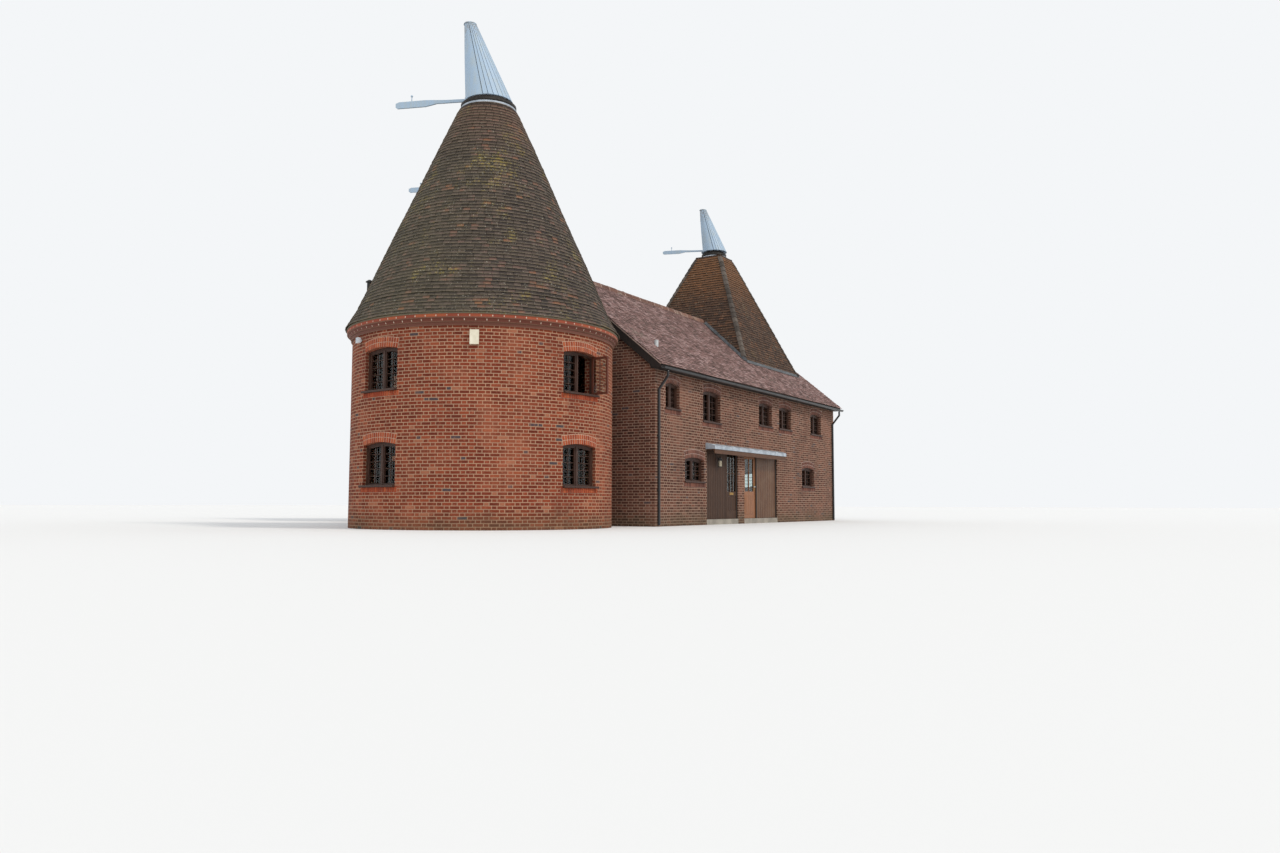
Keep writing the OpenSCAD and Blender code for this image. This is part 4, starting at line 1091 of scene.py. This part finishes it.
def glaze(window, timber_bm, rows, sides=(-1, 1)):
    """Fits a casement with an arched head and glazing bars in each light, and a timber sill."""
    light = (window.width - 3 * FRAME_FACE) / 2
    bar = sizes().glazing_bar / 2
    rail = 0.034
    for side in sides:
        middle = side * (light + FRAME_FACE) / 2

        def on_sash(x, up):
            x = middle + x * (light - 0.002)
            return Vector((x, 0.012, window.head(x) - FRAME_FACE if up > 0.5 else FRAME_FACE))

        sash = sheet(8, 1, on_sash)
        bmesh.ops.dissolve_faces(sash, faces=sash.faces[:])
        bmesh.ops.inset_region(sash, faces=sash.faces[:], thickness=rail, use_boundary=True,
                               use_even_offset=True)
        largest = max(sash.faces, key=lambda f: f.calc_area())
        bmesh.ops.delete(sash, geom=[largest], context="FACES_ONLY")
        thicken(sash, (0, 0.045, 0))
        move(sash, window.place)
        append(timber_bm, sash)
        low = FRAME_FACE + rail
        high = window.head(middle) - FRAME_FACE - rail
        block(timber_bm, (middle - bar, 0.028, low - 0.005), (middle + bar, 0.052, high + 0.008),
              0.003, 0.3, window.place)
        for k in range(1, rows):
            z = low + (high - low) * k / rows
            block(timber_bm, (middle - light / 2 + 0.02, 0.032, z - bar),
                  (middle + light / 2 - 0.02, 0.050, z + bar), 0.003, 0.4, window.place)
    half = window.width / 2
    block(timber_bm, (0.002 - half, -window.behind - 0.012, 0.004), (half - 0.002, 0.006, 0.046),
          0.003, 0.6, window.place)
    block(timber_bm, (-half - 0.035, -window.behind - 0.045, 0.003),
          (half + 0.035, -window.behind - 0.006, 0.049), 0.006, 0.5, window.place)


def open_casement(window):
    """Bars and a stained skin on the casement that stands open."""
    wide = (window.width - 3 * FRAME_FACE) / 2
    tall = window.spring - FRAME_FACE - 0.012
    thick, rail, skin = 0.040, 0.048, 0.0015
    leaf = (window.place
            @ Matrix.Translation((window.width / 2 - FRAME_FACE, 0, FRAME_FACE + 0.004))
            @ Matrix.Rotation(radians(88), 4, "Z") @ Matrix.Translation((-wide, -thick, 0)))
    outer = thick + skin
    bar = sizes().glazing_bar / 2
    rows = [((x, -skin, -skin), (x + rail + 2 * skin, outer, tall + skin), 0.002, 0.2, leaf)
            for x in (-skin, wide - rail - skin)]
    rows += [((rail, -skin, z), (wide - rail, outer, z + rail + 2 * skin), 0.002, 0.7, leaf)
             for z in (-skin, tall - rail - skin)]
    rows.append(((wide / 2 - bar, 0.006, rail), (wide / 2 + bar, 0.036, tall - rail), 0.003, 0.4,
                 leaf))
    for k in range(1, 5):
        z = rail + (tall - 2 * rail) * k / 5
        rows.append(((rail, 0.009, z - bar), (wide - rail, 0.034, z + bar), 0.003, 0.5, leaf))
    fit("open_casement", "red oak", "building", rows)


class OAST_OT_openings(bpy.types.Operator):
    """Lays the brick arches and sills, and fits casements, glazing bars and timber sills"""
    bl_idname = "oast.openings"
    bl_label = "Window dressings"

    def execute(self, context):
        rng = np.random.RandomState(7)
        groups = (("kiln", list(kiln_windows()), "rubbed brick", 5),
                  ("barn", list(barn_windows()), "barn arch brick", 4))
        # The second window of the first column stands half open
        ajar = groups[0][1][1]
        for part, windows, arch, _ in groups:
            bricks, lime = toned(), bmesh.new()
            for window in windows:
                lay_opening(window, bricks, lime, rng)
            settle(bricks, "%s_arch_bricks" % part, arch, "building")
            settle(lime, "%s_arch_joints" % part, "%s mortar" % part, "building")
        for part, windows, _, rows in groups:
            sashes = toned()
            for window in windows:
                glaze(window, sashes, rows, (-1,) if window is ajar else (-1, 1))
            settle(sashes, "%s_sashes" % part, "window timber", "building")
        open_casement(ajar)
        return {"FINISHED"}


def cowl_point(r, h, angle, share, out):
    """A place on the skewed cone of a cowl, out from its surface by a distance."""
    radius = r * (1 - 0.75 * share) + out
    return Vector((0.87 * r * share + radius * cos(angle), radius * sin(angle), h * share))


def board_cowl(body, centre, foot_z, r):
    """Boards a cowl's windward side, with gaps that close towards its flat cap."""
    h = 3.5 * r
    stand = Matrix.Translation((centre.x, centre.y, foot_z)) @ Matrix.Rotation(VANE_TURN, 4, "Z")
    bm, seams = toned(), bmesh.new()
    rng = np.random.RandomState(int(centre.x * 10) + 1)
    count, start, end = 14, radians(94), radians(266)
    step = (end - start) / count
    for k in range(count):
        middle = start + (k + 0.5) * step
        tone = rng.rand()
        lift = 0.003 + rng.rand() * 0.003

        def on_board(x, up):
            share = up * 0.995
            gap = (0.0055 - 0.0025 * share) / (r * (1 - 0.75 * share))
            return cowl_point(r, h, middle + x * (step - 2 * gap), share, lift)

        board = sheet(1, 5, on_board)
        thicken(board, Vector((cos(middle), sin(middle), 0.25)).normalized() * 0.010)
        layer = board.faces.layers.float.new("tone")
        for face in board.faces:
            face[layer] = tone
        append(bm, board)
    # Flat cap over the boards' heads
    place = Matrix.Translation(cowl_point(r, h, 0, 1, -r * 0.25) + Vector((0, 0, 0.011)))
    cap = bmesh.new()
    bmesh.ops.create_cone(cap, cap_ends=True, segments=32, radius1=0.25 * r + 0.018,
                          radius2=0.25 * r + 0.012, depth=0.022, matrix=place)
    append(bm, cap)
    move(bm, stand)
    settle(bm, "%s_boards" % body, "painted timber", body)
    for k in range(count + 1):
        def on_seam(x, up):
            share = up * 0.99
            angle = start + k * step + x * 0.018 / (r * (1 - 0.75 * share))
            return cowl_point(r, h, angle, share, 0.0015)

        append(seams, sheet(1, 5, on_seam))
    move(seams, stand)
    bmesh.ops.recalc_face_normals(seams, faces=seams.faces[:])
    settle(seams, "%s_seams" % body, "seam shade", body)


class OAST_OT_cowls(bpy.types.Operator):
    """Boards the three cowls and paints shade round the curbs under them with dark bands"""
    bl_idname = "oast.cowls"
    bl_label = "Cowls"

    def execute(self, context):
        bands = bmesh.new()
        for body, centre, foot_z, r, curb_z, curb_r in COWLS:
            board_cowl(body, centre, foot_z, r)
            # Painted shade: a dark band in the gap between curb and cowl, and a wider one over
            # the upper part of the curb
            for radius, z, depth in (
                    (curb_r * 0.85 + 0.003, (curb_z + foot_z) / 2 - 0.004,
                     foot_z - curb_z - 0.016),
                    (curb_r + 0.003, curb_z - 0.041, 0.086)):
                band = bmesh.new()
                bmesh.ops.create_cone(band, cap_ends=False, segments=96, radius1=radius,
                                      radius2=radius, depth=depth,
                                      matrix=Matrix.Translation((centre.x, centre.y, z)))
                bmesh.ops.solidify(band, geom=band.faces[:], thickness=0.002)
                append(bands, band)
        settle(bands, "curb_painted_shade", "iron", "building", smooth_faces=True)
        return {"FINISHED"}


def boarding(x0, x1, y0, y1, z0, z1, count, gap, rng, bevel=0.004):
    """Upright boards side by side along X."""
    wide = (x1 - x0) / count
    return [((x0 + k * wide + gap / 2, y0, z0), (x0 + k * wide + wide - gap / 2, y1, z1), bevel,
             rng.rand()) for k in range(count)]


class OAST_OT_entrance(bpy.types.Operator):
    """Fits the boarding, bars, fascia, lead rolls, lantern panes and door furniture"""
    bl_idname = "oast.entrance"
    bl_label = "Entrance"

    def execute(self, context):
        rng = np.random.RandomState(17)
        # Boarded screen with a head rail, then the glazed one: bars, and boards under a rail
        fit("dark_boards", "dark boarding", "building", [
            *boarding(5.905, 7.115, -3.116, -3.101, 0.155, 2.004, 11, 0.010, rng),
            ((5.905, -3.121, 2.008), (7.115, -3.101, 2.066), 0.004),
            ((7.378, -3.110, 0.95), (7.402, -3.075, 2.065), 0.003, 0.3),
            ((7.578, -3.110, 0.95), (7.602, -3.075, 2.065), 0.003, 0.3),
            ((7.192, -3.106, 1.46), (7.788, -3.078, 1.485), 0.003, 0.5),
            ((7.192, -3.115, 0.82), (7.788, -3.075, 0.95), 0.004, 0.7),
            *boarding(7.192, 7.788, -3.105, -3.075, 0.402, 0.818, 5, 0.006, rng)])
        # Fascia and soffit of the canopy
        fit("canopy_timbers", "fascia", "building", [
            ((5.765, -3.446, 1.985), (10.835, -3.412, 2.109), 0.004, 0.4),
            *(((5.77, low, 2.090), (10.83, low + 0.079, 2.108), 0.002, rng.rand())
              for low in (-3.410, -3.3275, -3.245))])
        fit("tarred_posts", "dark timber", "building", [
            ((x0, -3.126, 0.153), (x1, -3.1205, 2.066), 0.002, 0.5)
            for x0, x1 in ((5.823, 5.897), (7.792, 7.858), (9.189, 9.263), (10.703, 10.777))])
        fit("door_stop", "white paint", "building", [
            ((8.284, -3.128, 0.153), (8.326, -3.1205, 2.066), 0.002, 0.5)])
        fit("oak_boards", "oak", "building",
            boarding(9.270, 10.696, -3.114, -3.101, 0.155, 2.066, 10, 0.008, rng))
        lead = bmesh.new()
        fall = atan2(0.08, 0.30)
        for k in range(9):
            place = (Matrix.Translation((5.79 + k * 0.6275, -3.31, 2.242))
                     @ Matrix.Rotation(pi / 2 + fall, 4, "X"))
            bmesh.ops.create_cone(lead, cap_ends=True, segments=10, radius1=0.016, radius2=0.016,
                                  depth=0.306, matrix=place)
        settle(lead, "canopy_rolls", "lead", "building", smooth_faces=True)
        fit("door_boards", "oak door", "entrance_door", [
            *boarding(8.448, 9.064, -3.109, -3.1005, 0.27, 0.855, 5, 0.005, rng, 0.003),
            ((8.744, -3.098, 0.96), (8.768, -3.060, 1.96), 0.003, 0.3),
            ((8.436, -3.104, 0.966), (8.446, -3.0995, 1.954), 0.002, 0.4),
            ((9.066, -3.104, 0.966), (9.076, -3.0995, 1.954), 0.002, 0.4)])
        # A lever on each side of the door, and the stem that it turns on
        fit("door_lever", "satin steel", "entrance_door", [
            ((9.0045, -3.1465, 1.0985), (9.1315, -3.1295, 1.1255), 0.004),
            ((9.1045, -3.1465, 1.0985), (9.1315, -3.1001, 1.1255), 0.002),
            ((9.0045, -3.0265, 1.0985), (9.1315, -3.0095, 1.1255), 0.004),
            ((9.1045, -3.0559, 1.0985), (9.1315, -3.0095, 1.1255), 0.002)])
        fit("lock_plate", "brass", "entrance_door", [
            ((9.094, -3.1035, 0.99), (9.142, -3.1001, 1.21), 0.001),
            ((9.110, -3.106, 0.985), (9.126, -3.1030, 0.995), 0.001),
            ((9.110, -3.106, 1.2), (9.126, -3.1030, 1.21), 0.001)])
        fit("letter_plate", "brass", "building", [
            ((7.365, -3.119, 0.850), (7.615, -3.115, 0.920), 0.001),
            ((7.390, -3.122, 0.862), (7.590, -3.119, 0.908), 0.001)])
        lantern = Matrix.Translation((6.535, -3.22, 1.63))
        fit("lantern_panes", "frosted glass", "building", [
            ((0.0425, -0.017, 0.022), (0.0460, 0.017, 0.180), 0.0008, 0.0,
             lantern @ Matrix.Rotation(pi / 6 + n * pi / 3, 4, "Z")) for n in range(6)])
        iron = bmesh.new()
        bmesh.ops.create_cone(iron, cap_ends=True, segments=6, radius1=0.074, radius2=0.012,
                              depth=0.07, matrix=lantern @ Matrix.Translation((0, 0, 0.247)))
        for n in range(6):
            block(iron, (0.044, -0.0055, 0.0), (0.0545, 0.0055, 0.2), 0.001,
                  matrix=lantern @ Matrix.Rotation(n * pi / 3, 4, "Z"))
        bmesh.ops.create_uvsphere(iron, u_segments=10, v_segments=6, radius=0.014,
                                  matrix=lantern @ Matrix.Translation((0, 0, 0.292)))
        settle(iron, "lantern_frame", "iron", "building")
        return {"FINISHED"}


def gutter_bracket(x, y):
    """Half a ring of strap under the gutter."""
    ring = bmesh.new()
    bmesh.ops.create_circle(ring, cap_ends=False, segments=20, radius=0.0655)
    made = bmesh.ops.extrude_edge_only(ring, edges=ring.edges[:])["geom"]
    bmesh.ops.translate(ring, vec=(0, 0, 0.024),
                        verts=[v for v in made if isinstance(v, bmesh.types.BMVert)])
    move(ring, Matrix.Translation((x, y, 4.065)) @ Matrix.Rotation(pi / 2, 4, "Y"))
    bmesh.ops.bisect_plane(ring, geom=ring.verts[:] + ring.edges[:] + ring.faces[:],
                           plane_co=(0, 0, 4.067), plane_no=(0, 0, 1), clear_outer=True)
    bmesh.ops.recalc_face_normals(ring, faces=ring.faces[:])
    bmesh.ops.solidify(ring, geom=ring.faces[:], thickness=0.003)
    return ring


class OAST_OT_eaves(bpy.types.Operator):
    """Fits the fascia and soffit boards, gutter brackets and the lamp's lens"""
    bl_idname = "oast.eaves"
    bl_label = "Eaves"

    def execute(self, context):
        near, far = GABLE_X - VERGE + 0.034, FAR_X + VERGE - 0.034
        boards, brackets = [], bmesh.new()
        # The rear kiln stands between the rear eaves' two runs
        for side, x0, x1 in ((-1, near, far), (1, near, 5.04), (1, 8.36, far)):
            for inner, outer, z0, z1, tone in ((3.401, 3.409, 4.031, 4.128, 0.3),
                                               (3.165, 3.400, 4.030, 4.039, 0.6)):
                low, high = sorted((side * inner, side * outer))
                boards.append(((x0, low, z0), (x1, high, z1), 0.001, tone))
            x = x0 + 0.35
            while x < x1:
                append(brackets, gutter_bracket(x, side * 3.462))
                x += 0.95
        fit("eaves_boards", "dark timber", "building", boards)
        settle(brackets, "gutter_brackets", "black plastic", "building")
        fit("lamp_lens", "lamp lens", "building", [
            ((KILN_R + 0.1102, -0.064, 4.222), (KILN_R + 0.1135, 0.064, 4.318), 0.001, 0.0,
             Matrix.Rotation(radians(158), 4, "Z"))])
        return {"FINISHED"}


def sun_from(name, energy, angle, colour, way):
    """A sun of a given width that shines from a direction."""
    sun = bpy.data.lights.new(name, "SUN")
    sun.energy, sun.angle, sun.color = energy, radians(angle), colour
    lamp = bpy.data.objects.new(name, sun)
    lamp.rotation_euler = Vector(way).to_track_quat("Z", "Y").to_euler()
    bpy.context.scene.collection.objects.link(lamp)


class OAST_OT_stage(bpy.types.Operator):
    """Sets the floor, the light and the camera"""
    bl_idname = "oast.stage"
    bl_label = "Stage"

    def execute(self, context):
        scene = context.scene
        bm = bmesh.new()
        bmesh.ops.create_grid(bm, x_segments=1, y_segments=1, size=400)
        mesh = bpy.data.meshes.new("floor")
        bm.to_mesh(mesh)
        bm.free()
        mesh.materials.append(shade(new_finish("Pale floor")[0], Base_Color="D8D6D2",
                                    Roughness=0.95))
        floor = bpy.data.objects.new("floor", mesh)
        scene.collection.objects.link(floor)
        scene.world = bpy.data.worlds.new("Soft sky")
        scene.world.use_nodes = True
        tree = scene.world.node_tree
        # What the camera, gloss and glass see is a plain backdrop, and the sky lights the rest
        rays = add(tree, "rays")
        seen = add(tree, "MAXIMUM", rays["Is Camera Ray"],
                   add(tree, "MAXIMUM", rays["Is Glossy Ray"], rays["Is Transmission Ray"]))
        sky = tree.nodes["Background"]
        give(tree, sky.inputs["Color"], "E8EEF6")
        give(tree, sky.inputs["Strength"], 1.12)
        both = add(tree, "choose glow", seen, sky.outputs[0], add(tree, "glow", "F4F6F8", 1.0))
        give(tree, tree.nodes["World Output"].inputs["Surface"], both)
        sun_from("soft_sun", 1.45, 9, (1.0, 0.95, 0.88), (0.05, -0.75, 0.80))
        # A wide glow from the left fills the side that the sun leaves in shade
        sun_from("side_glow", 0.7, 70, (1.0, 1.0, 1.0), (-0.82, -0.42, 0.42))
        # The camera stands where the photograph was taken from
        lens = bpy.data.cameras.new("camera")
        lens.sensor_width = 36
        lens.lens = 975.9 / 1280 * 36
        lens.clip_end = 1000
        camera = bpy.data.objects.new("camera", lens)
        heading, pitch, roll = radians(31.065), radians(4.594), radians(0.135)
        camera.matrix_world = (Matrix.Translation((-18.52, -15.64, 0.55))
                               @ (Matrix.Rotation(heading - pi / 2, 4, "Z")
                                  @ Matrix.Rotation(pi / 2 + pitch, 4, "X"))
                               @ Matrix.Rotation(roll, 4, "Z"))
        scene.collection.objects.link(camera)
        scene.camera = camera
        scene.view_settings.view_transform = "Standard"
        return {"FINISHED"}


STEPS = (OAST_OT_materials, OAST_OT_roofs, OAST_OT_cappings, OAST_OT_junctions, OAST_OT_openings,
         OAST_OT_cowls, OAST_OT_entrance, OAST_OT_eaves, OAST_OT_stage)


class OAST_PT_panel(bpy.types.Panel):
    bl_label = "Oast house"
    bl_idname = "OAST_PT_panel"
    bl_space_type = "VIEW_3D"
    bl_region_type = "UI"
    bl_category = "Oast house"

    def draw(self, context):
        for group in (context.scene.oast_sizes, context.scene.oast_colours):
            for name in group.__annotations__:
                self.layout.prop(group, name)
        for step in STEPS:
            self.layout.operator(step.bl_idname)


CLASSES = (OastSizes, OastColours) + STEPS + (OAST_PT_panel,)


def register():
    for item in CLASSES:
        bpy.utils.register_class(item)
    bpy.types.Scene.oast_sizes = PointerProperty(type=OastSizes)
    bpy.types.Scene.oast_colours = PointerProperty(type=OastColours)


def unregister():
    del bpy.types.Scene.oast_colours
    del bpy.types.Scene.oast_sizes
    for item in reversed(CLASSES):
        bpy.utils.unregister_class(item)


def main():
    register()
    for step in STEPS:
        group, name = step.bl_idname.split(".")
        getattr(getattr(bpy.ops, group), name)()


if __name__ == "__main__":
    main()
